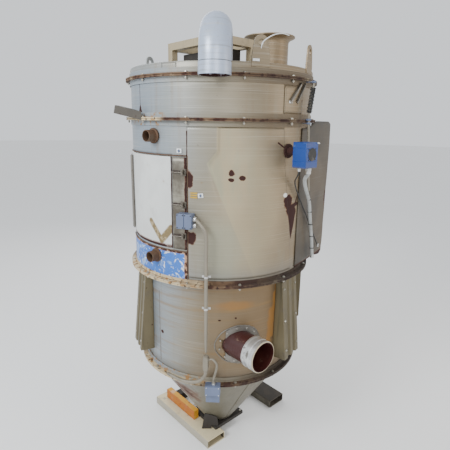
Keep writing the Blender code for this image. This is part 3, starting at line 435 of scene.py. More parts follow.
def ring_material(name, wall, cream_bearings, cream, dark):
    """Angle ring: its legs are stained sheet with painted reflection, its rim is rusted with some pale paint
    left; painted shade darkens the side to the camera's right.
    """
    ring = brushed_sheet(f"{name}_finish", 0.9, 1.1, 0.25, 0.6)
    flat = ring.vector("MULTIPLY", ring.vector("SUBTRACT", ring.place, tuple(AXIS)), (1.0, 1.0, 0.0))
    rim = ring.step(ring.vector("LENGTH", flat), wall + 0.004, wall + 0.008)
    ring.layer(rim, (0.13, 0.075, 0.040), 1.0, 0.8, 0.1)
    ring.layer(ring.math("MULTIPLY", rim, ring.step(ring.noise(18.0, 5.0), 0.45, 0.60)), RUST, 0.9, 0.9, 0.0)
    pale = ring.step(ring.noise(9.0, 5.0, shift=5.0), 0.62 - 0.25 * cream, 0.74 - 0.25 * cream)
    ring.layer(ring.math("MULTIPLY", rim, pale), CREAM, 0.7, 0.6, 0.1)
    for bearing, reach in cream_bearings:
        spot = ring.spot(tuple(polar(bearing, DRUM_R, middle(name).z)), (reach, reach, 0.05), 0.35, 0.3, 14.0)
        ring.layer(ring.math("MULTIPLY", rim, spot), CREAM, 0.9, 0.55, 0.1)
        ring.layer(ring.math("MULTIPLY", spot, ring.step(ring.noise(40.0), 0.50, 0.62)), OCHRE, 0.8, 0.8, 0.0)
    # painted shade: the ring darkens towards the camera's right
    ring.layer(ring.along(ACROSS, ACROSS_MID - 0.05, ACROSS_MID + 0.30), (0.030, 0.022, 0.016), dark)
    ring.layer(ring.math("MULTIPLY", rim, ring.step(ring.noise(55.0, 3.0), 0.56, 0.66)), DARK_RUST, 0.9)
    ring.raise_by(ring.noise(60.0, 5.0), 0.0010)
    return ring.done()


def painted(name, colour, wear=0.5, chip=RUST, streaks=0.3, metallic=0.15, roughness=0.5, grime=0.4):
    """Old paint with chips, runs of dirt and a little relief."""
    paint = Surface(name, colour, metallic, roughness)
    lighter = tuple(min(1.0, 1.18 * part) for part in colour)
    darker = tuple(0.62 * part for part in colour)
    paint.layer(paint.step(paint.noise(6.0, 4.0), 0.45, 0.70), lighter, 0.6)
    paint.layer(paint.step(paint.noise(1.0, 4.0, stretch=(40.0, 40.0, 2.5)), 0.50, 0.72), darker, streaks)
    paint.layer(paint.step(paint.noise(15.0, 5.0, shift=2.0), 0.56, 0.72), GRIME, grime)
    chips = paint.step(paint.noise(42.0, 6.0, 0.65, shift=7.0), 0.70 - 0.12 * wear, 0.75 - 0.12 * wear)
    paint.layer(chips, chip, 0.9, 0.85, 0.1)
    paint.vary(paint.noise(12.0), 0.12)
    paint.raise_by(chips, -0.0006).raise_by(paint.noise(120.0, 2.0), 0.00025)
    return paint


def door_material():
    paint = painted("door_white_paint", (0.55, 0.56, 0.54), 0.0, OCHRE, 0.12, 0.0, 0.42, 0.12)
    residue = paint.most(
        paint.stroke(drum_point(-87.3, 1.362), drum_point(-78.2, 1.282), 0.014, 0.15, 0.2, 20.0),
        paint.stroke(drum_point(-78.2, 1.282), drum_point(-70.9, 1.345), 0.017, 0.15, 0.2, 20.0))
    paint.layer(residue, (0.16, 0.11, 0.038), 0.97, 0.75)
    paint.layer(paint.math("MULTIPLY", residue, paint.step(paint.noise(50.0), 0.48, 0.60)),
                (0.42, 0.34, 0.21), 0.6)
    rust_over(paint, [
        paint.math("MULTIPLY", paint.up(DOOR_Z0 + 0.022, DOOR_Z0), paint.step(paint.noise(22.0), 0.25, 0.5)),
        paint.stroke(drum_point(DOOR_RIGHT, DOOR_Z0), drum_point(DOOR_RIGHT, DOOR_Z1), 0.0035, 0.8, 0.5,
                     25.0)])
    paint.layer(paint.step(paint.noise(26.0, 6.0, shift=9.0), 0.68, 0.74), (0.45, 0.43, 0.40), 0.5)
    return paint.done()


def strip_material():
    strip = brushed_sheet("bare_strip_sheet", 0.2, 1.2)
    strip.layer(strip.step(strip.noise(12.0, 5.0), 0.30, 0.60), (0.085, 0.070, 0.052), 0.92)
    masks = [strip.stroke(drum_point(STRIP_RIGHT - 0.4, DOOR_Z0), drum_point(STRIP_RIGHT - 0.4, DOOR_Z1),
                          0.006, 0.9, 0.5, 25.0)]
    for lever in LATCH_LEVERS:
        level = middle(lever).z
        # painted shade: a dark stripe along each latch, where the latch hook lies over the strip
        slot = strip.stroke(drum_point(DOOR_RIGHT + 0.6, level), drum_point(STRIP_RIGHT - 1.0, level + 0.002),
                            0.0080, 0.35, 0.3)
        strip.layer(slot, (0.03, 0.02, 0.015), 0.95, 0.9, 0.0)
    return rust_over(strip, masks).done()


def film_material():
    film = Surface("torn_blue_film", (0.035, 0.15, 0.52), 0.15, 0.38)
    film.layer(film.step(film.noise(13.0, 5.0, 0.6, distortion=1.2), 0.54, 0.62), (0.30, 0.46, 0.72), 0.85)
    film.layer(film.step(film.noise(21.0, 6.0, 0.65, distortion=2.0, shift=4.0), 0.57, 0.62),
               (0.72, 0.74, 0.75), 0.95, 0.5)
    film.layer(film.step(film.noise(30.0, 5.0, shift=8.0), 0.66, 0.72), (0.34, 0.24, 0.18), 0.8, 0.8)
    edge = film.most(film.up(high("film_panel").z - 0.012, high("film_panel").z),
                     film.up(low("film_panel").z + 0.012, low("film_panel").z),
                     film.stroke(drum_point(STRIP_RIGHT, RING_C), drum_point(STRIP_RIGHT, DOOR_Z0), 0.014,
                                 0.5, 0.3, 20.0),
                     film.stroke(drum_point(DOOR_LEFT, RING_C), drum_point(DOOR_LEFT, DOOR_Z0), 0.012, 0.5,
                                 0.3, 20.0))
    film.layer(film.step(edge, 0.2, 0.6), (0.42, 0.24, 0.10), 0.9, 0.85, 0.0)
    rust_over(film, [film.math("MULTIPLY", edge, film.step(film.noise(35.0), 0.40, 0.60))])
    film.raise_by(film.cells(26.0), 0.004).raise_by(film.noise(30.0, 4.0, distortion=1.0), 0.0035)
    return film.done()


def sleeve_material():
    rubber = Surface("silicone_sleeve", (0.040, 0.008, 0.007), 0.0, 0.42)
    rubber.layer(rubber.step(rubber.noise(9.0, 4.0), 0.50, 0.72), (0.085, 0.022, 0.016), 0.7)
    rubber.layer(rubber.step(rubber.cells(42.0), 0.14, 0.09), (0.20, 0.09, 0.06), 0.8)
    rubber.layer(rubber.step(rubber.noise(30.0, 4.0, shift=3.0), 0.62, 0.72), (0.26, 0.18, 0.12), 0.4, 0.8)
    rubber.raise_by(rubber.noise(1.0, 2.0, stretch=(20.0, 260.0, 20.0)), 0.0006)
    return rubber.done()


def bright_metal(name, colour=(0.62, 0.62, 0.61), roughness=0.35, dirt=0.4):
    """Bare metal with dirt, rust spots and fine lines."""
    metal = Surface(name, colour, 0.9, roughness)
    metal.layer(metal.step(metal.noise(16.0, 5.0), 0.52, 0.70), GRIME, dirt, 0.7, 0.3)
    metal.layer(metal.step(metal.noise(38.0, 5.0, shift=4.0), 0.64, 0.72), RUST, 0.7, 0.9, 0.0)
    metal.vary(metal.noise(25.0), 0.12)
    metal.raise_by(metal.noise(1.0, 2.0, stretch=(160.0, 160.0, 8.0)), 0.0001)
    return metal.done()


def switch_material():
    paint = painted("switch_blue_enamel", (0.004, 0.040, 0.21), 0.1, (0.45, 0.50, 0.56), 0.15, 0.0, 0.36,
                    0.25)
    body = middle("level_switch")
    paint.layer(paint.step(paint.noise(17.0, 3.0, shift=6.0), 0.60, 0.66), (0.12, 0.24, 0.48), 0.5)
    nipple = polar(0.0, DRUM_R + 0.018, SWITCH_Z)
    rust_over(paint, [paint.spot(tuple(nipple), (0.045, 0.034, 0.045), 0.2, 0.15)])
    # darker towards the foot of the housing
    paint.layer(paint.up(body.z - 0.045, body.z - 0.056), GRIME, 0.5)
    return paint.done()


def gooseneck_material():
    # the bluish base colour is painted sky reflection, on top of the sheet's own painted reflection
    skin = brushed_sheet("gooseneck_sheet", 0.8, 0.25, 0.35, 0.36, (3.0, 3.0, 90.0), (0.42, 0.49, 0.62))
    mouth = low("exhaust_gooseneck").z
    seam = skin.math("MULTIPLY", skin.up(mouth + 0.0465, mouth + 0.0480),
                     skin.up(mouth + 0.0510, mouth + 0.0490))
    skin.layer(seam, (0.05, 0.05, 0.05), 0.9)
    front = polar(EXHAUST_BEARING, EXHAUST_FRONT)
    for shift, top in ((1.0, 2.190), (1.9, 2.178)):
        mark = skin.stroke(tuple(polar(-38.0 + shift, 0.617, top)),
                           tuple(polar(-38.6 + shift, 0.619, top - 0.020)), 0.0022, 0.5)
        skin.layer(mark, (0.04, 0.04, 0.05), 0.9)
    inside = skin.spot((front.x, front.y, mouth), (0.0615, 0.0615, 0.060), 0.05, 0.03)
    return rust_over(skin, [skin.math("MULTIPLY", inside, skin.step(skin.noise(18.0), 0.25, 0.50))]).done()


def cone_material():
    skin = brushed_sheet("cone_sheet", 0.7, 1.1, 0.5, 0.45, (60.0, 60.0, 7.0))
    skin.layer(skin.step(skin.noise(1.0, 4.0, stretch=(22.0, 22.0, 3.0)), 0.45, 0.70), (0.20, 0.19, 0.15),
               0.6)
    skin.layer(skin.up(RING_D - 0.12, RING_D), (0.15, 0.13, 0.10), 0.55)
    # painted shade: darker towards the camera's right
    skin.layer(skin.along(ACROSS, ACROSS_MID - 0.25, ACROSS_MID), (0.11, 0.10, 0.068), 0.7)
    door_side = skin.spot(tuple(polar(-78.0, 0.30, RING_D - 0.17)), (0.09, 0.09, 0.10), 0.7, 0.4, 18.0)
    return rust_over(skin, [skin.math("MULTIPLY", door_side, skin.noise(26.0)),
                            skin.step(skin.noise(15.0, 5.0), 0.69, 0.78)]).done()


def fork_material(name, dark):
    # with dark set, the whole fork is painted dark as painted shadow
    paint = painted(name, (0.62, 0.535, 0.345) if not dark else (0.10, 0.09, 0.065), 0.55, (0.30, 0.19, 0.10),
                    0.2, 0.05, 0.6, 0.3)
    # painted shade: the outer side face of the left fork is greyer than its top
    side = paint.along((-1, 0, 0), -(low("fork_tube_left").x + 0.006), -(low("fork_tube_left").x + 0.001))
    paint.layer(side, (0.27, 0.255, 0.22), 0.75)
    # painted shadow on the top face, and darker mottling over the shaded fork
    if dark:
        paint.layer(paint.up(0.046, 0.0495), (0.030, 0.025, 0.020), 0.9, 0.85)
        paint.layer(paint.step(paint.noise(20.0, 5.0), 0.45, 0.62), (0.05, 0.04, 0.03), 0.8)
    # painted shade inside the tube's bore
    bore = paint.math("MULTIPLY", paint.up(0.0040, 0.0065), paint.up(0.0460, 0.0435))
    inner = paint.math("MULTIPLY", paint.along((1, 0, 0), low(name).x + 0.0035, low(name).x + 0.0046),
                       paint.along((1, 0, 0), high(name).x - 0.0035, high(name).x - 0.0046))
    paint.layer(paint.math("MULTIPLY", bore, inner), (0.03, 0.02, 0.015), 0.9, 0.9)
    return paint.done()


def block_material():
    paint = painted("bearer_yellow", (0.62, 0.29, 0.010), 0.9, (0.30, 0.085, 0.02), 0.2, 0.0, 0.6, 0.15)
    paint.layer(paint.step(paint.noise(14.0, 4.0, shift=2.0), 0.55, 0.63), (0.66, 0.42, 0.26), 0.8)
    # painted shade on the block's -X side face
    paint.layer(paint.along((-1, 0, 0), -(low("bearer_block").x + 0.008), -low("bearer_block").x),
                (0.34, 0.085, 0.01), 0.9)
    return paint.done()


def wool_material():
    wool = Surface("mineral_wool", (0.55, 0.49, 0.33), 0.0, 0.95)
    wool.layer(wool.step(wool.noise(60.0, 6.0), 0.45, 0.65), (0.36, 0.31, 0.19), 0.7)
    wool.raise_by(wool.noise(140.0, 6.0), 0.004)
    return wool.done()


def rubber_material(name, colour=(0.018, 0.018, 0.018)):
    rubber = Surface(name, colour, 0.0, 0.6)
    rubber.layer(rubber.step(rubber.noise(40.0, 4.0), 0.52, 0.70), (0.12, 0.11, 0.10), 0.5)
    rubber.raise_by(rubber.noise(200.0, 3.0), 0.0002)
    return rubber.done()


def jacket_material():
    """Dark, rust-edged finish of the loose outer sheet, with tan painted reflection and a painted shadow
    along its far edge.
    """
    skin = brushed_sheet("loose_sheet", 0.0, 1.0, 0.30, 0.55, base=(0.14, 0.125, 0.10))
    skin.layer(skin.step(skin.noise(3.0, 3.0), 0.40, 0.65), (0.060, 0.054, 0.046), 0.85)
    skin.layer(skin.step(skin.noise(2.0), 0.0, 0.3), (0.050, 0.044, 0.036), 0.62)
    far = JACKET_FAR
    rust_over(skin, [
        skin.spot((far.x - 0.020, far.y - 0.006, 1.425), (0.040, 0.040, 0.055), 0.6, 0.2, 30.0),
        skin.spot((far.x, far.y, 1.37), (0.030, 0.030, 0.030), 0.6, 0.2, 40.0),
        skin.up(low("side_jacket").z + 0.004, low("side_jacket").z - 0.010),
    ])
    # painted shadow: a dark line along the far edge of the sheet
    skin.layer(skin.stroke((far.x + 0.006, far.y, 1.16), (far.x + 0.018, far.y, 1.80), 0.010, 0.3),
               (0.03, 0.03, 0.03), 0.9, 0.7)
    return skin.done()


MATERIALS = {
    "middle_drum": middle_drum_material(),
    "upper_drum": upper_drum_material(),
    "lower_drum": lower_drum_material(),
    "lid": plain_sheet_material("lid_sheet", 0.55, 1.2),
    "jacket": plain_sheet_material("jacket_sheet", 0.2, 1.1, 0.02, low("side_jacket").z),
    "jacket_patch": jacket_material(),
    "gooseneck": gooseneck_material(),
    "cone": cone_material(),
    "cup": plain_sheet_material("cup_sheet", 0.1, 1.3),
    "white": door_material(),
    "strip": strip_material(),
    "film": film_material(),
    "sleeve": sleeve_material(),
    "steel": bright_metal("worn_steel"),
    "dull_steel": bright_metal("dull_steel", (0.25, 0.235, 0.21), 0.5, 0.7),
    "latch": bright_metal("latch_steel", (0.17, 0.15, 0.125), 0.45, 0.6),
    "bolt": bright_metal("zinc_bolts", (0.40, 0.38, 0.33), 0.42, 0.5),
    "switch": switch_material(),
    "olive": painted("olive_paint", (0.055, 0.046, 0.035), 0.45, RUST, 0.55, 0.15, 0.55, 0.45).done(),
    "leg": painted("leg_paint", (0.125, 0.102, 0.055), 0.35, RUST, 0.85, 0.25, 0.5, 0.55).done(),
    "cream": painted("conduit_zinc", (0.23, 0.205, 0.16), 0.35, (0.17, 0.10, 0.05), 0.2, 0.35, 0.5,
                     0.4).done(),
    "grey_box": painted("box_grey_paint", (0.12, 0.15, 0.235), 0.2, (0.20, 0.18, 0.16), 0.15, 0.2, 0.45,
                        0.2).done(),
    "frame_tan": painted("loader_frame_paint", (0.40, 0.325, 0.205), 0.3, RUST, 0.4, 0.2, 0.5, 0.35).done(),
    "tan_rim": painted("sleeve_rim", (0.58, 0.50, 0.34), 0.1, OCHRE, 0.2, 0.0, 0.5, 0.3).done(),
    "dark": painted("dark_plate", (0.035, 0.030, 0.026), 0.4, RUST, 0.2, 0.3, 0.7, 0.2).done(),
    "yellow": block_material(),
    "fork_left": fork_material("fork_tube_left", False),
    # the right fork's dark finish is painted shadow
    "fork_right": fork_material("fork_tube_right", True),
    "wool": wool_material(),
    "rubber": rubber_material("black_rubber"),
    "white_plastic": painted("white_plastic", (0.70, 0.72, 0.72), 0.1, GRIME, 0.1, 0.0, 0.5, 0.2).done(),
    "hose": painted("hose_grey", (0.34, 0.35, 0.34), 0.15, GRIME, 0.15, 0.0, 0.55, 0.35).done(),
    "tag": painted("plain_yellow_tag", (0.50, 0.30, 0.02), 0.2, GRIME, 0.2, 0.0, 0.5, 0.3).done(),
    "ring_lid": ring_material("flange_ring_lid", DRUM_R, (), 0.15, 0.5),
    "ring_upper": ring_material("flange_ring_upper", DRUM_R, ((-90.0, 0.13),), 0.30, 0.4),
    "ring_middle": ring_material("flange_ring_middle", LOWER_R, ((-85.0, 0.26), (-105.0, 0.2)), 0.20, 0.85),
    "ring_cone": ring_material("flange_ring_cone", LOWER_R, ((-85.0, 0.24),), 0.20, 0.9),
    "rusty": painted("rusted_steel", (0.10, 0.055, 0.030), 0.8, RUST, 0.5, 0.2, 0.75, 0.4).done(),
}


# ---- piece helpers -------------------------------------------------------------------
def piece(name, mesh, material, replaces=(), body="vessel", matrix=None):
    """Put a mesh in the scene, riding on a body and standing for its CAD nodes."""
    obj = bpy.data.objects.new(name, mesh)
    bpy.context.scene.collection.objects.link(obj)
    if matrix is not None:
        mesh.transform(matrix)
    mesh.materials.clear()
    mesh.materials.append(MATERIALS[material])
    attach(obj, body)
    if replaces:
        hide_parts(*replaces)
    return obj


def to_mesh(bm, angle=40.0):
    """A smooth-shaded mesh with sharp edges above the angle; frees the bmesh."""
    mesh = bpy.data.meshes.new("mesh")
    bm.to_mesh(mesh)
    bm.free()
    mesh.shade_smooth()
    mesh.set_sharp_from_angle(angle=math.radians(angle))
    return mesh


def rounded(obj, width, segments=2):
    bevel = obj.modifiers.new("edges", "BEVEL")
    bevel.width = width
    bevel.segments = segments
    bevel.limit_method = "ANGLE"
    bevel.angle_limit = math.radians(40)
    return obj


def thick(obj, thickness, offset=-1.0):
    """Give a sheet its thickness: inwards with -1, outwards with 1."""
    shell = obj.modifiers.new("sheet", "SOLIDIFY")
    shell.thickness = thickness
    shell.offset = offset
    return obj


def curved_sheet(bearings, levels, radius_at, keep=None, closed=False):
    """A sheet round the vessel whose outer face follows radius_at(bearing, level)."""
    bm = bmesh.new()
    rows = [[bm.verts.new(polar(b, radius_at(b, z), z)) for b in bearings] for z in levels]
    count = len(bearings) if closed else len(bearings) - 1
    for lower, upper, z0, z1 in zip(rows, rows[1:], levels, levels[1:]):
        for i in range(count):
            j = (i + 1) % len(bearings)
            if keep is None or keep((bearings[i] + bearings[i + 1 if not closed else i]) / 2, (z0 + z1) / 2):
                bm.faces.new((lower[i], lower[j], upper[j], upper[i]))
    loose = [vert for vert in bm.verts if not vert.link_faces]
    bmesh.ops.delete(bm, geom=loose, context="VERTS")
    return to_mesh(bm)


def grid_mesh(rows, angle=40.0):
    """A sheet through rows of points, all rows equally long."""
    bm = bmesh.new()
    grid = [[bm.verts.new(point) for point in row] for row in rows]
    for lower, upper in zip(grid, grid[1:]):
        for i in range(len(lower) - 1):
            bm.faces.new((lower[i], lower[i + 1], upper[i + 1], upper[i]))
    return to_mesh(bm, angle)


def spread(start, end, count):
    """Even steps from start to end, both ends included."""
    return [start + (end - start) * i / count for i in range(count + 1)]


def full_turn(steps):
    return [-180.0 + 360.0 * i / steps for i in range(steps)]


def turned(profile, steps=ROUND_STEPS, centre=AXIS, wobble=0.0):
    """A closed profile of (radius, z) points turned round a vertical line."""
    bm = bmesh.new()
    rings = []
    for turn in range(steps):
        a = 2 * math.pi * turn / steps
        sway = wobble * noise.noise(Vector((3 * math.cos(a), 3 * math.sin(a), 7.0 * profile[0][1])))
        places = [(centre.x + (r + sway) * math.cos(a), centre.y + (r + sway) * math.sin(a), z + 0.5 * sway)
                  for r, z in profile]
        rings.append([bm.verts.new(place) for place in places])
    for first, second in zip(rings, rings[1:] + rings[:1]):
        for i in range(len(profile)):
            j = (i + 1) % len(profile)
            bm.faces.new((first[i], first[j], second[j], second[i]))
    bmesh.ops.recalc_face_normals(bm, faces=bm.faces)
    return to_mesh(bm, 30.0)


def box(size, centre=(0.0, 0.0, 0.0)):
    bm = bmesh.new()
    bmesh.ops.create_cube(bm, size=1.0)
    bmesh.ops.scale(bm, vec=size, verts=bm.verts)
    bmesh.ops.translate(bm, vec=centre, verts=bm.verts)
    return bm


def merged(parts, angle=40.0):
    """One mesh from several (bmesh, matrix) pairs."""
    whole = bmesh.new()
    for part, matrix in parts:
        part.transform(matrix)
        mesh = bpy.data.meshes.new("part")
        part.to_mesh(mesh)
        part.free()
        whole.from_mesh(mesh)
        bpy.data.meshes.remove(mesh)
    return to_mesh(whole, angle)


def cone(radius, top, depth, steps=24, start=0.0):
    """A cylinder or taper along local +Z from start."""
    bm = bmesh.new()
    bmesh.ops.create_cone(bm, cap_ends=True, segments=steps, radius1=radius, radius2=top, depth=depth)
    bmesh.ops.translate(bm, vec=(0.0, 0.0, start + depth / 2), verts=bm.verts)
    return bm


def outline_plate(points, thickness):
    """A flat plate with an outline in local XY, its middle on z = 0."""
    bm = bmesh.new()
    verts = [bm.verts.new((x, y, -thickness / 2)) for x, y in points]
    face = bm.faces.new(verts)
    grown = bmesh.ops.extrude_face_region(bm, geom=[face])
    bmesh.ops.translate(bm, vec=(0, 0, thickness),
                        verts=[v for v in grown["geom"] if isinstance(v, bmesh.types.BMVert)])
    bmesh.ops.recalc_face_normals(bm, faces=bm.faces)
    return bm


def tube(points, radius, sides=20, radius_at=None):
    """A round bar along points; radius_at(share) changes its radius on the way."""
    bm = bmesh.new()
    points = [Vector(point) for point in points]
    rings = []
    side = None
    for i, point in enumerate(points):
        ahead = (points[min(i + 1, len(points) - 1)] - points[max(i - 1, 0)]).normalized()
        if side is None:
            side = ahead.orthogonal().normalized()
        side = (side - ahead * side.dot(ahead)).normalized()
        up = ahead.cross(side)
        r = radius if radius_at is None else radius_at(i / (len(points) - 1))
        rings.append([bm.verts.new(point + r * (math.cos(a) * side + math.sin(a) * up))
                      for a in (2 * math.pi * k / sides for k in range(sides))])
    for first, second in zip(rings, rings[1:]):
        for k in range(sides):
            bm.faces.new((first[k], first[(k + 1) % sides], second[(k + 1) % sides], second[k]))
    bm.faces.new(list(reversed(rings[0])))
    bm.faces.new(rings[-1])
    bmesh.ops.recalc_face_normals(bm, faces=bm.faces)
    return bm


def catmull(stops, per_stop=8):
    """A smooth route that passes through every stop."""
    stops = [Vector(stop) for stop in stops]
    ends = [2 * stops[0] - stops[1], *stops, 2 * stops[-1] - stops[-2]]
    route = []
    for before, start, end, after in zip(ends, ends[1:], ends[2:], ends[3:]):
        for step in range(per_stop):
            t = step / per_stop
            route.append(0.5 * (2 * start + (end - before) * t
                                + (2 * before - 5 * start + 4 * end - after) * t ** 2
                                + (3 * start - before - 3 * end + after) * t ** 3))
    return [*route, stops[-1]]


def hex_bolt(size, length):
    """A hex head with a washer, standing up along local +Z, its nut end below."""
    return [(cone(size * 1.15, size * 1.15, size * 0.22, 20), Matrix()),
            (cone(size * 0.92, size * 0.86, size * 0.62, 6, size * 0.22), Matrix()),
            (cone(size * 0.5, size * 0.46, length, 14, -length), Matrix()),
            (cone(size * 0.88, size * 0.92, size * 0.7, 6, -length * 0.86), Matrix())]


def bolts(name, places, size, length):
    """A row of hex bolts, one at each place, as one piece."""
    parts = []
    for place in places:
        parts += [(bm, place @ matrix) for bm, matrix in hex_bolt(size, length)]
    return piece(name, merged(parts), "bolt")


def cut(obj, bm, matrix=None):
    """Bore or cut a piece with a mesh that isn't shown, then keep the result."""
    mesh = bpy.data.meshes.new("cutter")
    bmesh.ops.recalc_face_normals(bm, faces=bm.faces)
    bm.to_mesh(mesh)
    bm.free()
    tool = bpy.data.objects.new("cutter", mesh)
    bpy.context.scene.collection.objects.link(tool)
    if matrix is not None:
        mesh.transform(matrix)
    hole = obj.modifiers.new("cut", "BOOLEAN")
    hole.operation = "DIFFERENCE"
    hole.solver = "EXACT"
    hole.object = tool
    bpy.context.view_layer.update()
    made = bpy.data.meshes.new_from_object(obj.evaluated_get(bpy.context.evaluated_depsgraph_get()))
    obj.modifiers.clear()
    obj.data = made
    bpy.data.objects.remove(tool)
    return obj


def wear(node, material, slot, smooth=False, bevel=0.0):
    """Keep a CAD node and give it a finish; its own mesh stays as it is."""
    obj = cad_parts[node]
    obj.data.materials.clear()
    obj.data.materials.append(MATERIALS[material])
    if smooth or bevel:
        weld = obj.modifiers.new("weld", "WELD")
        weld.merge_threshold = 0.00005
    if smooth:
        soft = obj.modifiers.new("soft", "SUBSURF")
        soft.levels = soft.render_levels = 2
    if bevel:
        rounded(obj, bevel)
    return obj


# ---- drums, rings, cone and lid ------------------------------------------------------
def dent(bearing, z):
    """Depth of the creased dent in the front sheet; its edge is a V that points to the door."""
    edge = DENT_BEARING + (min(106.0 * (z - DENT_Z), 5.4) if z > DENT_Z else 38.0 * (DENT_Z - z))
    inside = ramp(bearing - edge, 0.0, 2.2)
    fade = (1.0 - ramp(bearing - edge, 6.0, 26.0)) * (1.0 - ramp(abs(z - DENT_Z), 0.10, 0.26))
    return 0.0065 * inside * fade


def skin_radius(bearing, z, radius=None):
    """Radius of a drum's sheet with its gentle hollows and bumps."""
    radius = DRUM_R if radius is None else radius
    a = math.radians(bearing)
    place = Vector((2.2 * math.cos(a), 2.2 * math.sin(a), 1.7 * z))
    return radius - 0.0006 + 0.0011 * noise.noise(place) + 0.0005 * noise.noise(place * 3.1)


def dented_radius(bearing, z):
    return skin_radius(bearing, z) - dent(bearing, z)


def build_drums():
    """The three drums' sheets, the front sheet that laps over the middle one, and the fin."""
    bearings = full_turn(240)
    door_margin = 0.3
    edges = [DOOR_LEFT - door_margin, DOOR_RIGHT + door_margin]
    bearings = sorted([b for b in bearings if min(abs(b - e) for e in edges) > 0.4] + edges)
    levels = (spread(RING_C, DOOR_Z0 - 0.002, 10) + spread(DOOR_Z0 + 0.012, DOOR_Z1 - 0.012, 30)
              + spread(DOOR_Z1 + 0.002, RING_B - LEG_GAP, 10))

    def solid(bearing, z):
        return not (edges[0] < bearing + 1.0 < edges[1] + 0.9 and DOOR_Z0 - 0.002 < z < DOOR_Z1 + 0.002)

    skin = piece("middle_drum_sheet", curved_sheet(bearings, levels, dented_radius, solid, closed=True),
                 "middle_drum",
                 ["middle_drum"])
    thick(skin, SKIN)
    for port in ("port_upper", "port_lower"):
        outward = stand(PORT_BEARING, DRUM_R, middle(port).z) @ TO_X
        cut(skin, cone(PORT_HOLE_R, PORT_HOLE_R, 0.08, 32, -0.04), outward)
    # the front sheet laps over the drum, from the strip beside the door to its slanting right edge
    top_edge, low_edge = -4.0, 8.0
    columns = spread(0.0, 1.0, 80)
    rows = spread(RING_C + FLANGE_T + RING_LEG + 0.002, RING_B - FLANGE_T - RING_LEG - 0.002, 56)
    grid = []
    for z in rows:
        right = low_edge + (top_edge - low_edge) * ramp(z, RING_C, RING_B)
        line = []
        for share in columns:
            b = STRIP_RIGHT + 0.3 + (right - STRIP_RIGHT - 0.3) * share
            lift = 0.0018 + 0.0012 * ramp(share, 0.96, 1.0) * (0.5 + 0.5 * math.sin(19.0 * z))
            line.append(polar(b, dented_radius(b, z) + lift, z))
        grid.append(line)
    sheet = piece("front_sheet", grid_mesh(grid), "middle_drum")
    thick(sheet, 0.0010)

    upper_levels = spread(RING_B + LEG_GAP, RING_A - LEG_GAP, 14)
    upper = piece("upper_drum_sheet", curved_sheet(full_turn(180), upper_levels, skin_radius, closed=True),
                  "upper_drum",
                  ["upper_drum"])
    thick(upper, SKIN)

    def lower_radius(bearing, z):
        return skin_radius(bearing, z, LOWER_R)

    lower_levels = spread(RING_D + LEG_GAP, RING_C - LEG_GAP, 36)
    lower = piece("lower_drum_sheet", curved_sheet(full_turn(180), lower_levels, lower_radius, closed=True),
                  "lower_drum", ["lower_drum"])
    thick(lower, SKIN)
    inward = Matrix.Translation(Vector((INLET.x, low("air_inlet_tube").y, INLET.z))) @ TO_Y
    cut(lower, cone(INLET_R - 0.001, INLET_R - 0.001, 0.6, 64), inward)
    fin_low, fin_high = RING_C - 0.36, RING_C - 0.045
    fin = outline_plate([(-0.004, fin_low), (0.047, fin_low + 0.035), (0.047, fin_high), (-0.004, fin_high)],
                        0.006)
    upright = stand(37.0, LOWER_R, 0.0) @ Matrix.Rotation(math.pi / 2, 4, "X")
    rounded(piece("drum_fin", to_mesh(fin), "leg", matrix=upright), 0.001)


def build_seams():
    """Lap strips of the upper drum and the lid, and the bracket with its two braces."""
    sheet_b = -4.9
    plate_levels = spread(RING_B + 0.030, RING_A - 0.030, 8)
    lap = curved_sheet(spread(sheet_b, sheet_b + 17.0, 12), plate_levels, lambda b, z: DRUM_R + 0.0028)
    thick(piece("upper_drum_patch", lap, "jacket"), 0.0026)
    parts = []
    for start_b, end_b in ((8.5, -0.5), (13.0, 5.5)):
        start = polar(start_b, DRUM_R + 0.008, RING_A - 0.020)
        end = polar(end_b, DRUM_R + 0.006, RING_B + 0.078)
        run = (end - start).normalized()
        out = (start + end - 2 * AXIS)
        out = Vector((out.x, out.y, 0)).normalized()
        side = run.cross(out).normalized()
        out = side.cross(run)
        place = Matrix((run, side, out)).transposed().to_4x4()
        place.translation = (start + end) / 2
        length = (end - start).length
        parts.append((box((length, 0.016, 0.0022)), place))
        parts.append((box((length, 0.0022, 0.010), (0, 0.008, 0.004)), place))
    rounded(piece("upper_drum_braces", merged(parts), "dull_steel"), 0.0006)
    parts = [(box((0.003, 0.020, 0.011)), stand(-0.2, DRUM_R + 0.0042, RING_B + 0.080))]
    parts.append((box((0.003, 0.030, 0.010)), stand(-24.0, DRUM_R + 0.0045, LID_TOP + 0.006)))
    rounded(piece("small_blank_plates", merged(parts), "white_plastic"), 0.0008)
    lid_lap = curved_sheet(spread(-75.5, -66.0, 8), spread(RING_A + 0.010, LID_TOP - 0.004, 4), lambda b,
                           z: DRUM_R + 0.0016)
    thick(piece("lid_skirt_lap", lid_lap, "lid"), 0.0014)


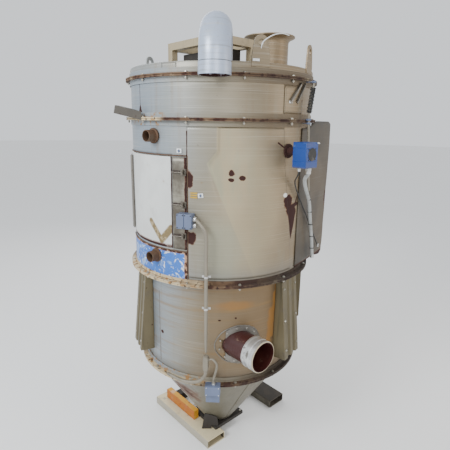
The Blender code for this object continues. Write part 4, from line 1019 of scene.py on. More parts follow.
def build_rings():
    """The four pairs of flange rings with their bolts."""
    rows = (("flange_ring_lid", RING_A, DRUM_R, RING_R - 0.004, "ring_lid", True, True),
            ("flange_ring_upper", RING_B, DRUM_R, RING_R, "ring_upper", True, True),
            ("flange_ring_cone", RING_D, LOWER_R, LOWER_R + 0.030, "ring_cone", True, False))
    groove = 0.0012
    for node, level, wall, reach, material, upper_leg, lower_leg in rows:
        inner, leg, t = wall + LEG_GAP, wall + LEG_GAP + RING_T, FLANGE_T
        profile = [(reach, level + t), (reach, level + groove), (reach - 0.004, level),
                   (reach, level - groove),
                   (reach, level - t)]
        if lower_leg:
            profile += [(leg + 0.002, level - t), (leg, level - t - 0.002), (leg, level - t - RING_LEG),
                        (inner, level - t - RING_LEG)]
        else:
            profile += [(inner, level - t)]
        if upper_leg:
            profile += [(inner, level + t + RING_LEG), (leg, level + t + RING_LEG), (leg, level + t + 0.002),
                        (leg + 0.002, level + t)]
        else:
            profile += [(inner, level + t)]
        piece(f"{node}_pair", turned(profile, wobble=0.0009), material, [node])
    t, level = FLANGE_T, RING_C
    inner_low, inner_high = LOWER_R + LEG_GAP, DRUM_R + LEG_GAP
    profile = [(RING_R, level + t), (RING_R, level + groove), (RING_R - 0.004, level),
               (RING_R, level - groove),
               (RING_R, level - t), (inner_low + RING_T, level - t),
               (inner_low + RING_T, level - t - RING_LEG),
               (inner_low, level - t - RING_LEG), (inner_low, level - LEG_GAP), (inner_high, level - LEG_GAP),
               (inner_high, level + t + 0.016), (inner_high + 0.003, level + t + 0.016),
               (inner_high + 0.004, level + t)]
    piece("flange_ring_middle_pair", turned(profile, wobble=0.0009), "ring_middle",
          ["flange_ring_middle"])
    places = []
    for level, reach in ((RING_A, RING_R - 0.017), (RING_B, RING_R - 0.013), (RING_C, RING_R - 0.013),
                         (RING_D, LOWER_R + 0.017)):
        for bearing in BOLT_BEARINGS:
            places.append(stand(bearing, reach, level + FLANGE_T))
    bolts("ring_bolts", places, 0.0066, 0.026)


def build_cone():
    slope = math.hypot(LOWER_R - OUTLET_R, RING_D - CONE_Z)
    count = 30
    profile_levels = spread(CONE_Z, RING_D - LEG_GAP, count)

    def radius_at(bearing, z):
        share = (z - CONE_Z) / (RING_D - CONE_Z)
        a = math.radians(bearing)
        place = Vector((2 * math.cos(a), 2 * math.sin(a), 3.0 * z))
        sway = 0.0011 * noise.noise(place) * (1 - abs(2 * share - 1) ** 3)
        return OUTLET_R + (LOWER_R - OUTLET_R) * share + sway - 0.0003

    obj = piece("outlet_cone_sheet",
                curved_sheet(full_turn(ROUND_STEPS), profile_levels, radius_at, closed=True), "cone",
                ["outlet_cone"])
    thick(obj, SKIN * slope / (RING_D - CONE_Z))
    seam_b = -15.0
    seam = curved_sheet(spread(seam_b - 1.2, seam_b + 1.2, 2), profile_levels[2:-2],
                        lambda b, z: radius_at(seam_b, z) + 0.0014)
    thick(piece("cone_seam", seam, "cone"), 0.0012)


def build_lid():
    """The lid with its four lifting lugs and a stray wire through the front one."""
    profile = [(0.0006, LID_TOP), (DRUM_R - 0.006, LID_TOP), (DRUM_R - 0.002, LID_TOP - 0.002),
               (DRUM_R, LID_TOP - 0.006),
               (DRUM_R, RING_A + LEG_GAP), (DRUM_R - SKIN, RING_A + LEG_GAP),
               (DRUM_R - SKIN, LID_TOP - SKIN - 0.002),
               (0.0006, LID_TOP - SKIN)]
    lid = piece("lid_sheet", turned(profile), "lid", ["lid"])
    neck_hole_r, exhaust_hole_r, lug_hole_r, lug_t = 0.0975, 0.0640, 0.013, 0.008
    neck = middle("material_inlet")
    cut(lid, cone(neck_hole_r, neck_hole_r, 0.2, 64), Matrix.Translation((neck.x, neck.y, LID_TOP - 0.1)))
    rear = gooseneck_rear()
    cut(lid, cone(exhaust_hole_r, exhaust_hole_r, 0.2, 48),
        Matrix.Translation((rear.x, rear.y, LID_TOP - 0.1)))
    head_r, height, width, root = 0.0315, 0.105, 0.084, 0.020
    arc = [(head_r * math.cos(a), height - head_r + head_r * math.sin(a)) for a in spread(0.0, math.pi, 24)]
    outline = [*arc, (-width / 2, 0.018), (-width / 2, -root), (width / 2, -root), (width / 2, 0.018)]
    for number, bearing in enumerate(LUG_BEARINGS, start=1):
        place = stand(bearing, DRUM_R - SKIN, LID_TOP)
        lug = piece(f"lifting_lug_{number}", to_mesh(outline_plate(outline, lug_t)), "lid",
                    matrix=place @ FACE_X)
        hole = Matrix.Translation((0, 0, height - head_r)) @ TO_X
        cut(lug, cone(lug_hole_r, lug_hole_r, 0.1, 32, -0.05), place @ hole)
        rounded(lug, 0.0012)
    # stray wire that hangs through the front lug
    head = polar(FRONT_LUG, DRUM_R, LID_TOP + height - head_r)
    stops = [head + Vector((0.004, 0.006, -0.028)), head + Vector((-0.006, -0.010, -0.006)),
             head + Vector((0.012, -0.012, 0.012)),
             head + Vector((0.060, -0.014, 0.036)), head + Vector((0.120, -0.006, 0.050)),
             head + Vector((0.175, 0.004, 0.052))]
    piece("lug_wire", merged([(tube(catmull(stops), 0.0022, 10), Matrix())]), "white_plastic")


def gooseneck_rear():
    """Where the exhaust leaves the lid."""
    return polar(EXHAUST_BEARING, EXHAUST_FRONT - 2 * EXHAUST_BEND)


def build_gooseneck():
    bearing, radius, bend, front = EXHAUST_BEARING, EXHAUST_R, EXHAUST_BEND, EXHAUST_FRONT
    drop, cuff_step, below = 0.075, 0.0014, Vector((0, 0, 0.05))
    arch = TOP_Z - radius - bend
    rear = [polar(bearing, front - 2 * bend, z) for z in spread(LID_TOP - 0.020, arch, 4)[:-1]]
    curve = [polar(bearing, front - bend + bend * math.cos(a), arch + bend * math.sin(a))
             for a in spread(math.pi, 0.0, 30)]
    foot = [polar(bearing, front, z) for z in spread(arch, arch - drop, 6)[1:]]
    route = rear + curve + foot
    lip = 0.0008

    def swell(share):
        cuff_start = 1.0 - 1.8 / len(route)
        return radius - cuff_step + (cuff_step if share > cuff_start else 0.0) - lip * 0.5

    neck = piece("exhaust_neck", merged([(tube(route, radius, 48, swell), Matrix())], 60.0), "gooseneck",
                 ["exhaust_gooseneck"])
    bore = [route[0] - below, *route[1:-1], route[-1] - below]
    cut(neck, tube(bore, radius - 0.004, 48))
    band = [polar(bearing, front, z) for z in (arch - drop + 0.0022, arch - drop + 0.047)]
    cuff = piece("exhaust_cuff", merged([(tube(band, radius, 64), Matrix())]), "gooseneck")
    cut(cuff, tube([band[0] - below, band[1] + below], radius - 0.0016, 64))
    rounded(cuff, 0.0005)


def build_cup():
    centre = middle("material_inlet")
    centre = Vector((centre.x, centre.y, 0))
    reach = (high("material_inlet").x - low("material_inlet").x) / 2
    neck, foot = 0.098, low("material_inlet").z
    flare = [(neck + (reach - neck) * share ** 1.6,
              TOP_Z - 0.034 + 0.029 * share ** 0.7) for share in spread(0.0, 1.0, 8)]
    profile = [(reach, TOP_Z - 0.0005), *reversed(flare), (neck, foot), (neck - SKIN, foot),
               (neck - SKIN, TOP_Z - 0.030)]
    profile += [(neck - 0.001 + (reach - neck - 0.006) * share,
                 TOP_Z - 0.026 + 0.0255 * share) for share in spread(0.2, 1.0, 5)]
    piece("material_inlet_cup", turned(profile, 96, centre, 0.0006), "cup",
          ["material_inlet"])
    band = [(neck + 0.0035, LID_TOP + 0.016), (neck + 0.0035, LID_TOP + 0.0005),
            (neck + 0.0003, LID_TOP + 0.0005),
            (neck + 0.0003, LID_TOP + 0.016)]
    piece("material_inlet_base", turned(band, 96, centre), "rusty")


# ---- door, latches and ports ---------------------------------------------------------
def build_door():
    """Door sheet, latch strip, torn film, raised rims and the latches."""
    levels = spread(DOOR_Z0, DOOR_Z1, 24)

    def radius_at(bearing, z):
        a = math.radians(bearing)
        return DRUM_R - 0.0003 + 0.0004 * noise.noise(Vector((4 * math.cos(a), 4 * math.sin(a), 5 * z)))

    door = piece("door_panel", curved_sheet(spread(DOOR_LEFT, DOOR_RIGHT, 40), levels, radius_at), "white",
                 ["access_door"], "door")
    thick(door, SKIN)
    rounded(door, 0.0006)
    strip_r = high_radius("latch_strip")
    strip = curved_sheet(spread(DOOR_RIGHT + 0.8, STRIP_RIGHT, 10), spread(DOOR_Z0, DOOR_Z1, 20), lambda b,
                         z: strip_r)
    thick(piece("latch_strip_sheet", strip, "strip", ["latch_strip"]), 0.002)
    crumple = random.Random(7)
    film_low, film_high = low("film_panel").z, high("film_panel").z

    def film_radius(bearing, z):
        inner = ramp(bearing - DOOR_LEFT, 0.0, 2.0) * ramp(STRIP_RIGHT - bearing, 0.0, 2.0)
        inner *= ramp(z - film_low, 0.0, 0.012) * ramp(film_high - z, 0.0, 0.012)
        coarse = noise.noise(Vector((0.45 * bearing, 60.0 * z, 3.0)))
        wave = coarse + 0.5 * noise.noise(Vector((0.9 * bearing, 140.0 * z, 9.0)))
        return strip_r - 0.0004 - 0.0014 * inner * (0.5 + wave) * crumple.uniform(0.8, 1.0)

    film_mesh = curved_sheet(spread(DOOR_LEFT, STRIP_RIGHT, 110),
                             spread(film_low, film_high, 30), film_radius)
    film = piece("film_sheet", film_mesh, "film", ["film_panel"])
    thick(film, 0.0010)
    outward = stand(PORT_BEARING, DRUM_R, middle("port_lower").z) @ TO_X
    cut(film, cone(PORT_HOLE_R + 0.0003, PORT_HOLE_R + 0.0003, 0.08, 32, -0.04), outward)
    # raised rims above and below the film and above the door
    parts = []
    for level, left, right in ((film_low - 0.004, DOOR_LEFT, STRIP_RIGHT),
                               (film_high + 0.004, DOOR_LEFT, STRIP_RIGHT),
                               (DOOR_Z1 + 0.0065, DOOR_LEFT - 1, STRIP_RIGHT)):
        run = [polar(b, DRUM_R + 0.0020, level) for b in spread(left, right, 30)]
        parts.append((tube(run, 0.0030, 10), Matrix()))
    side = [polar(STRIP_RIGHT + 0.7, DRUM_R + 0.0006,
                  z) for z in spread(film_low - 0.004, DOOR_Z1 + 0.006, 20)]
    parts.append((tube(side, 0.0024, 10), Matrix()))
    piece("panel_rims", merged(parts, 60.0), "rusty")
    for number, lever in enumerate(LATCH_LEVERS, start=1):
        build_latch(number, middle(lever).z)


def high_radius(node):
    """Largest distance of a CAD node from the vessel's axis."""
    return max((Vector((v.co.x, v.co.y, 0)) - AXIS).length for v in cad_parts[node].data.vertices)


def build_latch(number, level):
    """A toggle latch: a pressed base with two ears and a lever with a bent hook and a grip."""
    place = stand(STRIP_RIGHT - 1.7, high_radius("latch_strip") + 0.0004, level)
    ear_gap, ear_t = 0.014, 0.003
    pivot = Vector((0.011, 0.0, 0.0))
    parts = [(box((0.003, 0.026, 0.030), (0.0015, 0, 0)), place)]
    ear = [(0.002, -0.007), (0.010, -0.0065), (0.0155, -0.003), (0.0155, 0.003), (0.010, 0.0065),
           (0.002, 0.007)]
    washer_out = 0.0118
    for side in (-1, 1):
        parts.append((outline_plate(ear, ear_t),
                      place @ Matrix.Translation((0, 0, side * (ear_gap + ear_t) / 2))))
    for side in (-1, 1):
        head = Matrix.Translation((0.003, 0, washer_out * side)) @ TO_X
        parts.append((cone(0.0028, 0.0020, 0.0016, 14), place @ head))
    rounded(piece(f"latch_ears_{number}", merged(parts), "latch", [f"latch_base_{number}"]),
            0.0005)
    lever_place = place @ Matrix.Translation(pivot)
    parts = [(cone(0.0045, 0.0045, ear_gap - 0.001, 20, -(ear_gap - 0.001) / 2), lever_place),
             (cone(0.0021, 0.0021, 0.022, 16, -0.011), lever_place)]
    hook = catmull([(0.0, -0.002, 0.0), (0.001, -0.020, 0.0), (0.001, -0.040, 0.0), (-0.0002, -0.052, 0.0)],
                   6)
    parts.append((tube(hook, 0.0022, 12), lever_place))
    grip = catmull([(0.002, 0.004, 0.0), (0.010, 0.0045, 0.0), (0.019, 0.006, 0.0)], 5)
    parts.append((tube(grip, 0.0045, 14, lambda share: 0.0022 + 0.0026 * share), lever_place))
    piece(f"latch_toggle_{number}", merged(parts), "latch", [f"latch_lever_{number}"],
          f"latch_{number}")


def build_ports():
    """The two sight ports, the turn buttons and a plain tag."""
    for name in ("port_upper", "port_lower"):
        level = middle(name).z
        place = stand(PORT_BEARING, DRUM_R, level) @ TO_X
        inner, outer, front = 0.0225, 0.026, 0.048
        profile = [(inner, front), (outer - 0.0008, front), (outer, front - 0.001), (outer, 0.0095),
                   (0.0335, 0.0085), (0.034, 0.0035),
                   (outer, 0.0035), (outer, -0.046), (inner, -0.046)]
        mesh = turned(profile, 48, Vector((0, 0, 0)))
        piece(f"{name}_pipe", mesh, "rusty", [name], matrix=place)
    # turn buttons beside the door, with plain plates
    for b, z, tilt in ((-64.7, 1.698, 0.0), (-52.4, 1.508, 0.1)):
        place = stand(b, DRUM_R + 0.0032, z) @ Matrix.Rotation(tilt, 4, "X")
        number = "upper" if z > 1.6 else "lower"
        rounded(piece(f"turn_plate_{number}", to_mesh(box((0.0022, 0.024, 0.020))), "white_plastic",
                      matrix=place), 0.001)
        knob = [(cone(0.0062, 0.0050, 0.005, 20), place @ TO_X),
                (box((0.0035, 0.003, 0.013), (0.005, 0, 0)), place)]
        rounded(piece(f"turn_knob_{number}", merged(knob), "grey_box"), 0.0005)
    place = stand(-56.2, DRUM_R + 0.0031, 1.508)
    parts = [(box((0.0018, 0.032, 0.0055), (0, 0, dz)), place) for dz in (0.010, 0.0, -0.010)]
    piece("plain_tag", merged(parts), "tag")


# ---- wiring --------------------------------------------------------------------------
def build_junction_box():
    node_low, node_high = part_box("junction_box")
    bearing, radius = -59.9, DRUM_R + 0.0045
    centre_z = (node_low.z + node_high.z) / 2 + 0.005
    place = stand(bearing, radius, centre_z)
    body = piece("junction_box_body", to_mesh(box((0.040, 0.070, 0.066), (0.020, 0, 0))), "grey_box",
                 ["junction_box"], matrix=place)
    rounded(body, 0.002, 3)
    parts = [(box((0.004, 0.0350, 0.067), (0.0424, side * 0.0183, 0)), place) for side in (-1, 1)]
    rounded(piece("junction_box_lids", merged(parts), "grey_box", ["junction_box_cover"]),
            0.0015, 3)
    screws = []
    for side in (-1, 1):
        for dy in (-0.013, 0.013):
            for dz in (-0.028, 0.028):
                head = Matrix.Translation((0.0443, side * 0.0183 + dy, dz)) @ TO_X
                screws.append((cone(0.0030, 0.0022, 0.0016, 14), place @ head))
    piece("junction_box_screws", merged(screws), "dark")
    fittings = []
    for dz in (0.010, -0.018):
        nut = place @ Matrix.Translation((0.020, 0.0352, dz)) @ TO_Y
        fittings.append((cone(0.0125, 0.0125, 0.007, 6), nut))
        fittings.append((cone(0.0108, 0.0104, 0.008, 24, 0.007), nut))
    rounded(piece("conduit_fittings", merged(fittings), "steel"), 0.0006)


def tube_clamp(name, place, radius):
    """A strap round a tube that runs along local Z, with a flat foot on each side."""
    width = 0.010
    parts = [(cone(radius + 0.0012, radius + 0.0012, width, 24, -width / 2), place),
             (box((0.0016, 2 * radius + 0.022, width), (-radius - 0.0006, 0, 0)), place)]
    return piece(name, merged(parts), "steel")


def build_wiring():
    for node in ("conduit_upper", "conduit_sweep", "flex_conduit", "sensor_tube"):
        wear(node, "cream", "painted_steel_cream", smooth=True)
    wear("switch_hose", "hose", "hose_skin", smooth=True)
    wear("switch_cable", "rubber", "rubber", smooth=True)
    run_r = RING_R + 0.011
    centre_z = middle("conduit_body").z
    place = stand(CONDUIT_BEARING, run_r, centre_z)
    tee_r, tee_half = 0.013, 0.026
    outline = [(tee_r * math.cos(a), (tee_half if a < math.pi else -tee_half) + tee_r * math.sin(a))
               for a in spread(0.0, 2 * math.pi, 24)[:-1]]
    parts = [(outline_plate(outline, 0.024), place @ FACE_X)]
    for end in (-1, 1):
        parts.append((cone(0.0115, 0.0115, 0.013, 24, 0.027 if end > 0 else -0.040), place))
    parts.append((cone(0.0095, 0.0095, 0.008, 20), place @ Matrix.Translation((0, 0.0075, 0.020)) @ TO_Y))
    cover = [(0.86 * x, 0.93 * y) for x, y in outline]
    parts.append((outline_plate(cover, 0.003), place @ Matrix.Translation((0.0135, 0, 0)) @ FACE_X))
    rounded(piece("conduit_tee", merged(parts), "cream", ["conduit_body"]), 0.0008)
    for number, z in enumerate((RING_C + 0.055, RING_C - 0.10), start=1):
        tube_clamp(f"conduit_strap_{number}", stand(CONDUIT_BEARING, run_r, z), 0.009)
    low_box = stand(-44.8, LOWER_R + 0.0304, middle("lower_box").z)
    parts = [(box((0.040, 0.074, 0.052), (0.020, 0, 0.024)), low_box),
             (box((0.002, 0.070, 0.048), (0.041, 0, 0.024)), low_box),
             (box((0.004, 0.068, 0.050), (0.020, 0, -0.025)), low_box)]
    rounded(piece("lower_box_body", merged(parts), "grey_box", ["lower_box"]), 0.0012, 3)
    parts = []
    for dy in (-0.030, 0.030):
        for dz in (0.004, 0.043):
            parts.append((cone(0.0028, 0.0020, 0.0014, 12),
                          low_box @ Matrix.Translation((0.0420, dy, dz)) @ TO_X))
    parts.append((cone(0.0100, 0.0095, 0.010, 6), low_box @ Matrix.Translation((0.021, 0.004, 0.0500))))
    piece("lower_box_screws", merged(parts), "steel")


def node_section(node, z, band=0.02):
    """Middle of a CAD node's slice near a level."""
    near = [v.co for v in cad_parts[node].data.vertices if abs(v.co.z - z) < band]
    total = Vector((0, 0, 0))
    for co in near:
        total += co
    return total / len(near)


def build_switch():
    width, depth, height = 0.085, 0.075, 0.115
    near = DRUM_R + 0.060
    place = stand(0.0, near + depth / 2, SWITCH_MID_Z)
    body = box((depth - 0.002, width - 0.002, height - 0.004))
    parts = [(body, place)]
    for dz in (-0.026, 0.030):
        parts.append((box((depth, width, 0.006), (0, 0, dz)), place))
    bezel = place @ Matrix.Translation((depth / 2 - 0.0062, 0, 0.004)) @ TO_X
    parts.append((cone(0.036, 0.033, 0.006, 40), bezel))
    nipple = stand(0.0, DRUM_R + 0.002, SWITCH_Z) @ TO_X
    parts.append((cone(0.017, 0.017, 0.062, 32), nipple))
    parts.append((cone(0.023, 0.023, 0.012, 6, 0.034), nipple))
    parts.append((cone(0.033, 0.032, 0.006, 36), nipple))
    rounded(piece("level_switch_housing", merged(parts), "switch", ["level_switch"]), 0.004,
            3)
    details = [(cone(0.029, 0.027, 0.0030, 32, 0.0056), bezel)]
    for a in spread(0.0, 2 * math.pi, 4)[:-1]:
        spot = bezel @ Matrix.Translation((0.0325 * math.cos(a + 0.8), 0.0325 * math.sin(a + 0.8), 0.0048))
        details.append((cone(0.0034, 0.0030, 0.002, 6), spot))
    piece("level_switch_window", merged(details), "rubber")
    # flat leads looped over the housing
    parts = []
    top = place @ Vector((depth / 2 - 0.004, width / 2 - 0.006, height / 2 - 0.010))
    for shift, reach in ((0.0, 0.020), (0.012, 0.012)):
        stops = [top + Vector((0.0, -shift, 0.004)), top + Vector((0.003, 0.010, 0.004)),
                 top + Vector((0.004 + shift / 3, 0.020, -0.012)),
                 top + Vector((0.004, 0.012, -0.034 - reach)), top + Vector((-0.004, 0.002, -0.050 - reach))]
        parts.append((tube(catmull(stops), 0.0026, 12), Matrix()))
    piece("switch_leads", merged(parts), "white_plastic")
    hose = node_section("switch_hose", high("switch_hose").z, 0.003)
    gland = Matrix.Translation(hose + Vector((0, 0, -0.012)))
    parts = [(cone(0.0145, 0.0145, 0.012, 6), gland), (cone(0.0118, 0.0125, 0.014, 24, -0.014), gland)]
    cable = node_section("switch_cable", high("switch_cable").z, 0.003)
    parts.append((cone(0.0068, 0.0082, 0.014, 20), Matrix.Translation(cable + Vector((0, 0, -0.013)))))
    rounded(piece("switch_glands", merged(parts), "steel"), 0.0006)


def build_ties():
    """Ties and end fittings of the hose, and the wrap and clamps of the sensor tube."""
    parts = []
    for z in spread(low("switch_hose").z + 0.05, SWITCH_Z - 0.24, 4):
        centre = node_section("switch_hose", z, 0.016)
        parts.append((cone(0.0112, 0.0112, 0.004, 24, -0.002), Matrix.Translation(centre)))
    piece("hose_ties", merged(parts), "rubber")
    foot = node_section("switch_hose", low("switch_hose").z, 0.004)
    end = node_section("switch_cable", low("switch_cable").z, 0.004)
    parts = [(cone(0.0118, 0.0118, 0.020, 6, -0.006), Matrix.Translation(foot)),
             (cone(0.0060, 0.0072, 0.018, 16, -0.008), Matrix.Translation(end))]
    rounded(piece("cable_end_fittings", merged(parts), "steel"), 0.0006)
    top = node_section("sensor_tube", RING_A - 0.03, 0.02)
    base = node_section("sensor_tube", RING_B + 0.03, 0.02)
    coil = []
    turns, per_turn = 17, 12
    for i in range(turns * per_turn + 1):
        share = i / (turns * per_turn)
        centre = top.lerp(base, share)
        a = 2 * math.pi * i / per_turn
        swell = 0.0092 + 0.0022 * math.sin(7.0 * share * math.pi) ** 2
        coil.append(centre + Vector((swell * math.cos(a), swell * math.sin(a), 0)))
    piece("sensor_wire_wrap", merged([(tube(coil, 0.0025, 8), Matrix())], 80.0), "rubber")
    parts = []
    for z, size in ((RING_A - 0.008, 0.011), (RING_B + 0.006, 0.012), (RING_B - 0.010, 0.010)):
        centre = node_section("sensor_tube", z, 0.03)
        centre.z = z
        parts.append((cone(size, size, 0.009, 6, -0.0045), Matrix.Translation(centre)))
        out = Vector((centre.x - AXIS.x, centre.y - AXIS.y, 0)).normalized()
        bearing = math.degrees(math.atan2(out.x, -out.y))
        inward = stand(bearing, RING_R - 0.004, z)
        parts.append((box((0.030, 0.020, 0.003), (0.0, 0, 0)), inward))
    rounded(piece("sensor_tube_clamps", merged(parts), "grey_box"), 0.0008)


# ---- air inlet -----------------------------------------------------------------------
def build_inlet():
    mouth = low("air_inlet_tube").y
    place = Matrix.Translation(Vector((INLET.x, mouth, INLET.z))) @ TO_Y
    length = high("air_inlet_tube").y - mouth
    r, wall = INLET_R, 0.003
    profile = [(r - 0.0008, 0.0), (r, 0.001), (r, 0.055), (r - 0.0012, 0.075)]
    profile += [(r - 0.0012 - 0.0005 * math.sin(9 * share * math.pi) ** 2, 0.075 + (length - 0.080) * share)
                for share in spread(0.05, 1.0, 30)]
    profile += [(r - wall, length), (r - wall, 0.0)]
    piece("air_sleeve", turned(list(reversed(profile)), 72, Vector((0, 0, 0))), "sleeve",
          ["air_inlet_tube"], matrix=place)
    rim = [(r + 0.0002, 0.0002), (r + 0.0030, 0.0012), (r + 0.0030, 0.0034), (r + 0.0002, 0.0040)]
    piece("air_sleeve_rim", turned(rim, 72, Vector((0, 0, 0))), "tan_rim",
          matrix=place)
    band = [(r + 0.0004, 0.0045), (r + 0.0042, 0.0050), (r + 0.0042, 0.018), (r + 0.0030, 0.020),
            (r + 0.0030, 0.028),
            (r + 0.0044, 0.030), (r + 0.0044, 0.044), (r + 0.0030, 0.046), (r + 0.0030, 0.060),
            (r + 0.0042, 0.062),
            (r + 0.0042, 0.073), (r + 0.0004, 0.074)]
    piece("air_collar", turned(band, 72, Vector((0, 0, 0))), "steel", ["inlet_collar"],
          matrix=place)
    lug = place @ Matrix.Rotation(math.radians(200), 4, "Z") @ Matrix.Translation((r + 0.004, 0, 0.037))
    parts = [(box((0.007, 0.018, 0.010)), lug),
             (cone(0.0022, 0.0022, 0.034, 12, -0.017), lug @ Matrix.Rotation(math.pi / 2, 4, "X"))]
    rounded(piece("collar_screw", merged(parts), "dull_steel"), 0.0006)
    wear("inlet_wall_flange", "dull_steel", "bare_steel")
    # rivets and sealant residue round the wall flange, following the drum
    rivets_r, sealant_r = 0.089, 0.1015
    parts = []
    for turn in range(12):
        a = 2 * math.pi * turn / 12 + 0.2
        x, z = INLET.x + rivets_r * math.cos(a), INLET.z + rivets_r * math.sin(a)
        spot = on_wall(x, z, LOWER_R + 0.0064)
        parts.append((cone(0.0052, 0.0034, 0.0032, 12), spot))
    piece("inlet_flange_rivets", merged(parts), "bolt")
    bead = []
    for turn in range(72):
        a = 2 * math.pi * turn / 72
        sway = 0.0035 * noise.noise(Vector((2.3 * math.cos(a), 2.3 * math.sin(a), 4.0)))
        x, z = INLET.x + (sealant_r + sway) * math.cos(a), INLET.z + (sealant_r + sway) * math.sin(a)
        bead.append(on_wall(x, z, LOWER_R + 0.0016).translation)
    bead += bead[:1]
    sealant = merged([(tube(bead, 0.0030, 8,
                            lambda share: 0.0026 + 0.0018 * noise.noise(Vector((40.0 * share, 0, 1)))),
                            Matrix())], 80.0)
    piece("inlet_sealant", sealant, "dull_steel")


def on_wall(x, z, radius):
    """A place on the lower drum straight behind x, its local +Z pointing out."""
    dx = x - AXIS.x
    bearing = math.degrees(math.asin(dx / radius))
    return stand(bearing, radius, z) @ TO_X


# ---- brackets, jacket, base ----------------------------------------------------------
def build_leg(number, bearing):
    """Splayed leg bracket folded from plate, with two ribs pressed into its web."""
    node = f"leg_bracket_{number}"
    top, foot = high(node).z, low(node).z
    half, plate = 0.075, 0.004
    reach_top, reach_foot = 0.030, 0.068
    rows = []
    section = [(-half, 0.0), (-half, 0.35), (-half, 0.7), (-half, 1.0), (-0.040, 1.0), (-0.034, 0.86),
               (-0.014, 0.86), (-0.008, 1.0),
               (0.014, 1.0), (0.020, 0.86), (0.040, 0.86), (0.046, 1.0), (half, 1.0), (half, 0.7),
               (half, 0.35), (half, 0.0)]
    for share in spread(0.0, 1.0, 14):
        z = foot + (top - foot) * share
        reach = reach_foot + (reach_top - reach_foot) * share
        row = []
        for y, out in section:
            start = math.sqrt(max(LOWER_R ** 2 - y ** 2, 0.0)) + 0.0015
            row.append((start + (LOWER_R + reach - start) * out, y, z))
        rows.append(row)
    turn = Matrix.Translation(AXIS) @ Matrix.Rotation(math.radians(bearing - 90.0), 4, "Z")
    leg = piece(f"leg_plate_{number}", grid_mesh(rows, 25.0), "leg", [node], matrix=turn)
    thick(leg, plate)
    rounded(leg, 0.0008)
    parts = []
    for z in (foot + 0.05, (foot + top) / 2, top - 0.04):
        for y in (-0.058, 0.060):
            share = (z - foot) / (top - foot)
            out = LOWER_R + reach_foot + (reach_top - reach_foot) * share - 0.001
            parts += [(bm, turn @ Matrix.Translation((out, y, z)) @ TO_X @ m)
                      for bm, m in hex_bolt(0.0062, 0.012)]
    piece(f"leg_bolts_{number}", merged(parts), "bolt")


def build_jacket():
    """The loose end of the outer sheet, with rolled corners and a rusty edge."""
    z0, z1 = low("side_jacket").z, high("side_jacket").z
    start_b, bend, reach = JACKET_BEARING, 6.0, 0.430
    corner_share, corner_size = 0.80, 0.060
    base = polar(start_b, DRUM_R + 0.0035 - bend)
    rows = []
    for z_share in spread(0.0, 1.0, 34):
        row = []
        for share in spread(0.0, 1.0, 30):
            corner = corner_size * (max(0.0, share - corner_share) / 0.20) ** 2
            trim = corner * max(0.0, abs(2 * z_share - 1) - corner_share) / 0.20
            narrow = 0.022 * (1.0 - z_share) * share
            a = math.radians(start_b) + (reach - narrow - trim * 0.2) * share / bend
            ripple = 0.0020 * noise.noise(Vector((5.0 * share, 6.0 * z_share, 2.0))) * share
            curl = -0.010 * ramp(share, 0.93, 1.0)
            r = bend + ripple + curl
            foot = z0 - 0.008 - 0.020 * ramp(share, 0.5, 0.9)
            head = z1 + 0.006 + 0.034 * ramp(share, 0.12, 0.40)
            z = foot + (head - foot) * z_share
            z += (-trim if z_share > 0.5 else trim) * 0.6
            row.append((base.x + r * math.sin(a), base.y - r * math.cos(a), z))
        rows.append(row)
    sheet = piece("loose_outer_sheet", grid_mesh(rows), "jacket_patch", ["side_jacket"])
    thick(sheet, 0.0016, 1.0)


def section_tube(node, material):
    """A square tube with rounded corners along Y, in the place of its CAD node."""
    wall, corner = 0.005, 0.006
    a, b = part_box(node)
    width, height = b.x - a.x, b.z - a.z

    def outline(inset, radius):
        points = []
        for sx, sz, start in ((1, 1, 0), (-1, 1, 90), (-1, -1, 180), (1, -1, 270)):
            cx, cz = sx * (width / 2 - inset - radius), sz * (height / 2 - inset - radius)
            for step in range(5):
                t = math.radians(start + 22.5 * step)
                points.append((cx + radius * math.cos(t), cz + radius * math.sin(t)))
        return points

    bm = bmesh.new()
    rings = []
    centre = (a + b) / 2
    for y in (a.y, b.y):
        for inset, radius in ((0.0, corner), (wall, corner * 0.4)):
            rings.append([bm.verts.new((centre.x + x, y, centre.z + z)) for x, z in outline(inset, radius)])
    front_out, front_in, back_out, back_in = rings
    count = len(front_out)
    for i in range(count):
        j = (i + 1) % count
        for first, second in ((front_out, back_out), (back_out, back_in), (back_in, front_in),
                              (front_in, front_out)):
            bm.faces.new((first[i], first[j], second[j], second[i]))
    bmesh.ops.recalc_face_normals(bm, faces=bm.faces)
    return piece(f"{node}_section", to_mesh(bm, 30.0), material, [node])


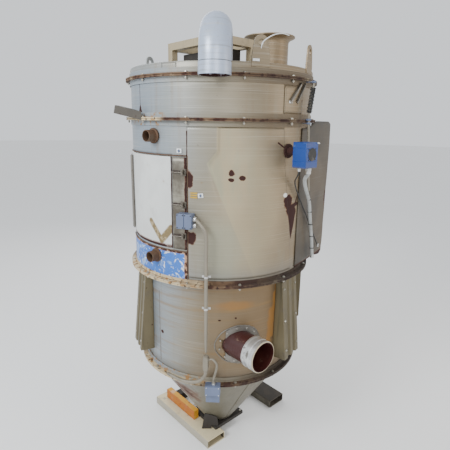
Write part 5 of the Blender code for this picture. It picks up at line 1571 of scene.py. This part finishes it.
def build_base():
    left = section_tube("fork_tube_left", "fork_left")
    section_tube("fork_tube_right", "fork_right")
    hole = Vector((low("fork_tube_left").x + 0.030, high("fork_tube_left").y - 0.048, 0.0))
    cut(left, cone(0.008, 0.008, 0.03, 24, 0.035), Matrix.Translation(hole))
    for node in ("cross_member_front", "cross_member_rear"):
        wear(node, "dark", "dark_steel", bevel=0.0015)
    # Near black on the gate body, outlet flange and gusset: partly dark paint, partly painted shade under the
    # cone.
    for node in ("gate_body", "outlet_flange", "outlet_gusset"):
        wear(node, "dark", "dark_steel", bevel=0.0008)
    wear("gate_blade", "dull_steel", "bare_steel", bevel=0.0006)
    a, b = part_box("bearer_block")
    bm = box(b - a, (a + b) / 2)
    bmesh.ops.subdivide_edges(bm, edges=bm.edges[:], cuts=9, use_grid_fill=True)
    for vert in bm.verts:
        chip = noise.noise(vert.co * 28.0) * 0.0016 + noise.noise(vert.co * 90.0) * 0.0006
        inward = (Vector(((a.x + b.x) / 2, vert.co.y, (a.z + b.z) / 2)) - vert.co)
        vert.co += inward.normalized() * (0.0018 + chip)
    block = piece("bearer_timber", to_mesh(bm, 50.0), "yellow", ["bearer_block"])
    rounded(block, 0.002)
    centre = (low("gate_body") + high("gate_body")) / 2
    places = [Matrix.Translation((centre.x + sx * 0.098, centre.y + sy * 0.098, high("outlet_flange").z))
              for sx in (-1, 1) for sy in (-1, 1)]
    bolts("outlet_bolts", places, 0.0062, 0.018)


def build_arm():
    wear("upper_arm", "olive", "olive_paint", bevel=0.0025)


def build_hinge():
    for node in ("hinge_frame_leaf", "hinge_door_leaf", "hinge_pin"):
        wear(node, "dull_steel", "bare_steel")


def build_inside():
    for node in ("inner_shell", "air_diffuser", "door_plug", "level_switch_paddle"):
        wear(node, "dull_steel", "bare_steel")
    wear("insulation", "wool", "lagging")
    wear("door_gasket", "rubber", "rubber")


def build_loader_frame():
    wear("loader_frame", "frame_tan", "weathered_steel", bevel=0.003)
    a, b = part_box("loader_frame")
    bar = 0.036
    plate_z = b.z - 0.030
    parts = [(box((b.x - a.x - 2 * bar, 0.003, 0.060), ((a.x + b.x) / 2, a.y + bar + 0.040, plate_z - 0.04)),
              Matrix()),
             (box((0.003, b.y - a.y - 2 * bar - 0.05, 0.050),
                  (a.x + bar + 0.020, (a.y + b.y) / 2, plate_z - 0.05)), Matrix())]
    rounded(piece("loader_frame_webs", merged(parts), "dark"), 0.0006)


# ---- camera, light and floor ---------------------------------------------------------
def build_stage():
    camera = bpy.data.objects.new("camera", bpy.data.cameras.new("camera"))
    bpy.context.scene.collection.objects.link(camera)
    camera.data.sensor_width = 36.0
    camera.data.lens = 32.8
    heading, tilt, roll = -42.33, 75.99, 0.86
    distance_back, height_up = 2.221, 1.819
    turn = Matrix.Rotation(math.radians(heading), 4, "Z") @ Matrix.Rotation(math.radians(tilt), 4, "X")
    camera.matrix_world = (Matrix.Translation(polar(CAMERA_BEARING, distance_back, height_up)) @ turn
                           @ Matrix.Rotation(math.radians(roll), 4, "Z"))
    bpy.context.scene.camera = camera

    bm = bmesh.new()
    bmesh.ops.create_circle(bm, cap_ends=True, segments=96, radius=40.0)
    floor = bpy.data.objects.new("floor", to_mesh(bm))
    bpy.context.scene.collection.objects.link(floor)
    floor.location.z = -0.0005
    ground = Surface("pale_floor", (0.86, 0.86, 0.85), 0.0, 0.8)
    ground.layer(ground.noise(0.8, 3.0), (0.90, 0.90, 0.89), 0.5)
    floor.data.materials.append(ground.done())

    world = bpy.data.worlds.new("studio")
    bpy.context.scene.world = world
    world.use_nodes = True
    background = world.node_tree.nodes["Background"]
    background.inputs["Color"].default_value = (0.93, 0.96, 1.0, 1.0)
    background.inputs["Strength"].default_value = 1.05
    middle_point = AXIS + Vector((0, 0, 1.1))
    for name, bearing, distance, height, size, power, colour in (
            ("key", -85.0, 3.6, 3.4, 1.4, 150.0, (0.92, 0.96, 1.0)),
            ("front", -30.0, 4.2, 2.6, 1.6, 40.0, (1.0, 0.97, 0.92)),
            ("warm_side", 35.0, 3.6, 1.8, 1.6, 22.0, (1.0, 0.86, 0.70)),
            ("rim", 150.0, 4.0, 3.2, 2.4, 50.0, (1.0, 1.0, 1.0))):
        lamp = bpy.data.objects.new(name, bpy.data.lights.new(name, "AREA"))
        bpy.context.scene.collection.objects.link(lamp)
        lamp.data.shape = "SQUARE"
        lamp.data.size = size
        lamp.data.energy = power
        lamp.data.color = colour
        lamp.location = polar(bearing, distance, height)
        lamp.rotation_mode = "QUATERNION"
        lamp.rotation_quaternion = (middle_point - lamp.location).to_track_quat("-Z", "Y")


build_stage()
build_drums()
build_seams()
build_rings()
build_cone()
build_lid()
build_gooseneck()
build_cup()
build_door()
build_ports()
build_junction_box()
build_wiring()
build_switch()
build_ties()
build_inlet()
for leg_number, leg_bearing in enumerate(LEG_BEARINGS, start=1):
    build_leg(leg_number, leg_bearing)
build_jacket()
build_base()
build_arm()
build_hinge()
build_inside()
build_loader_frame()
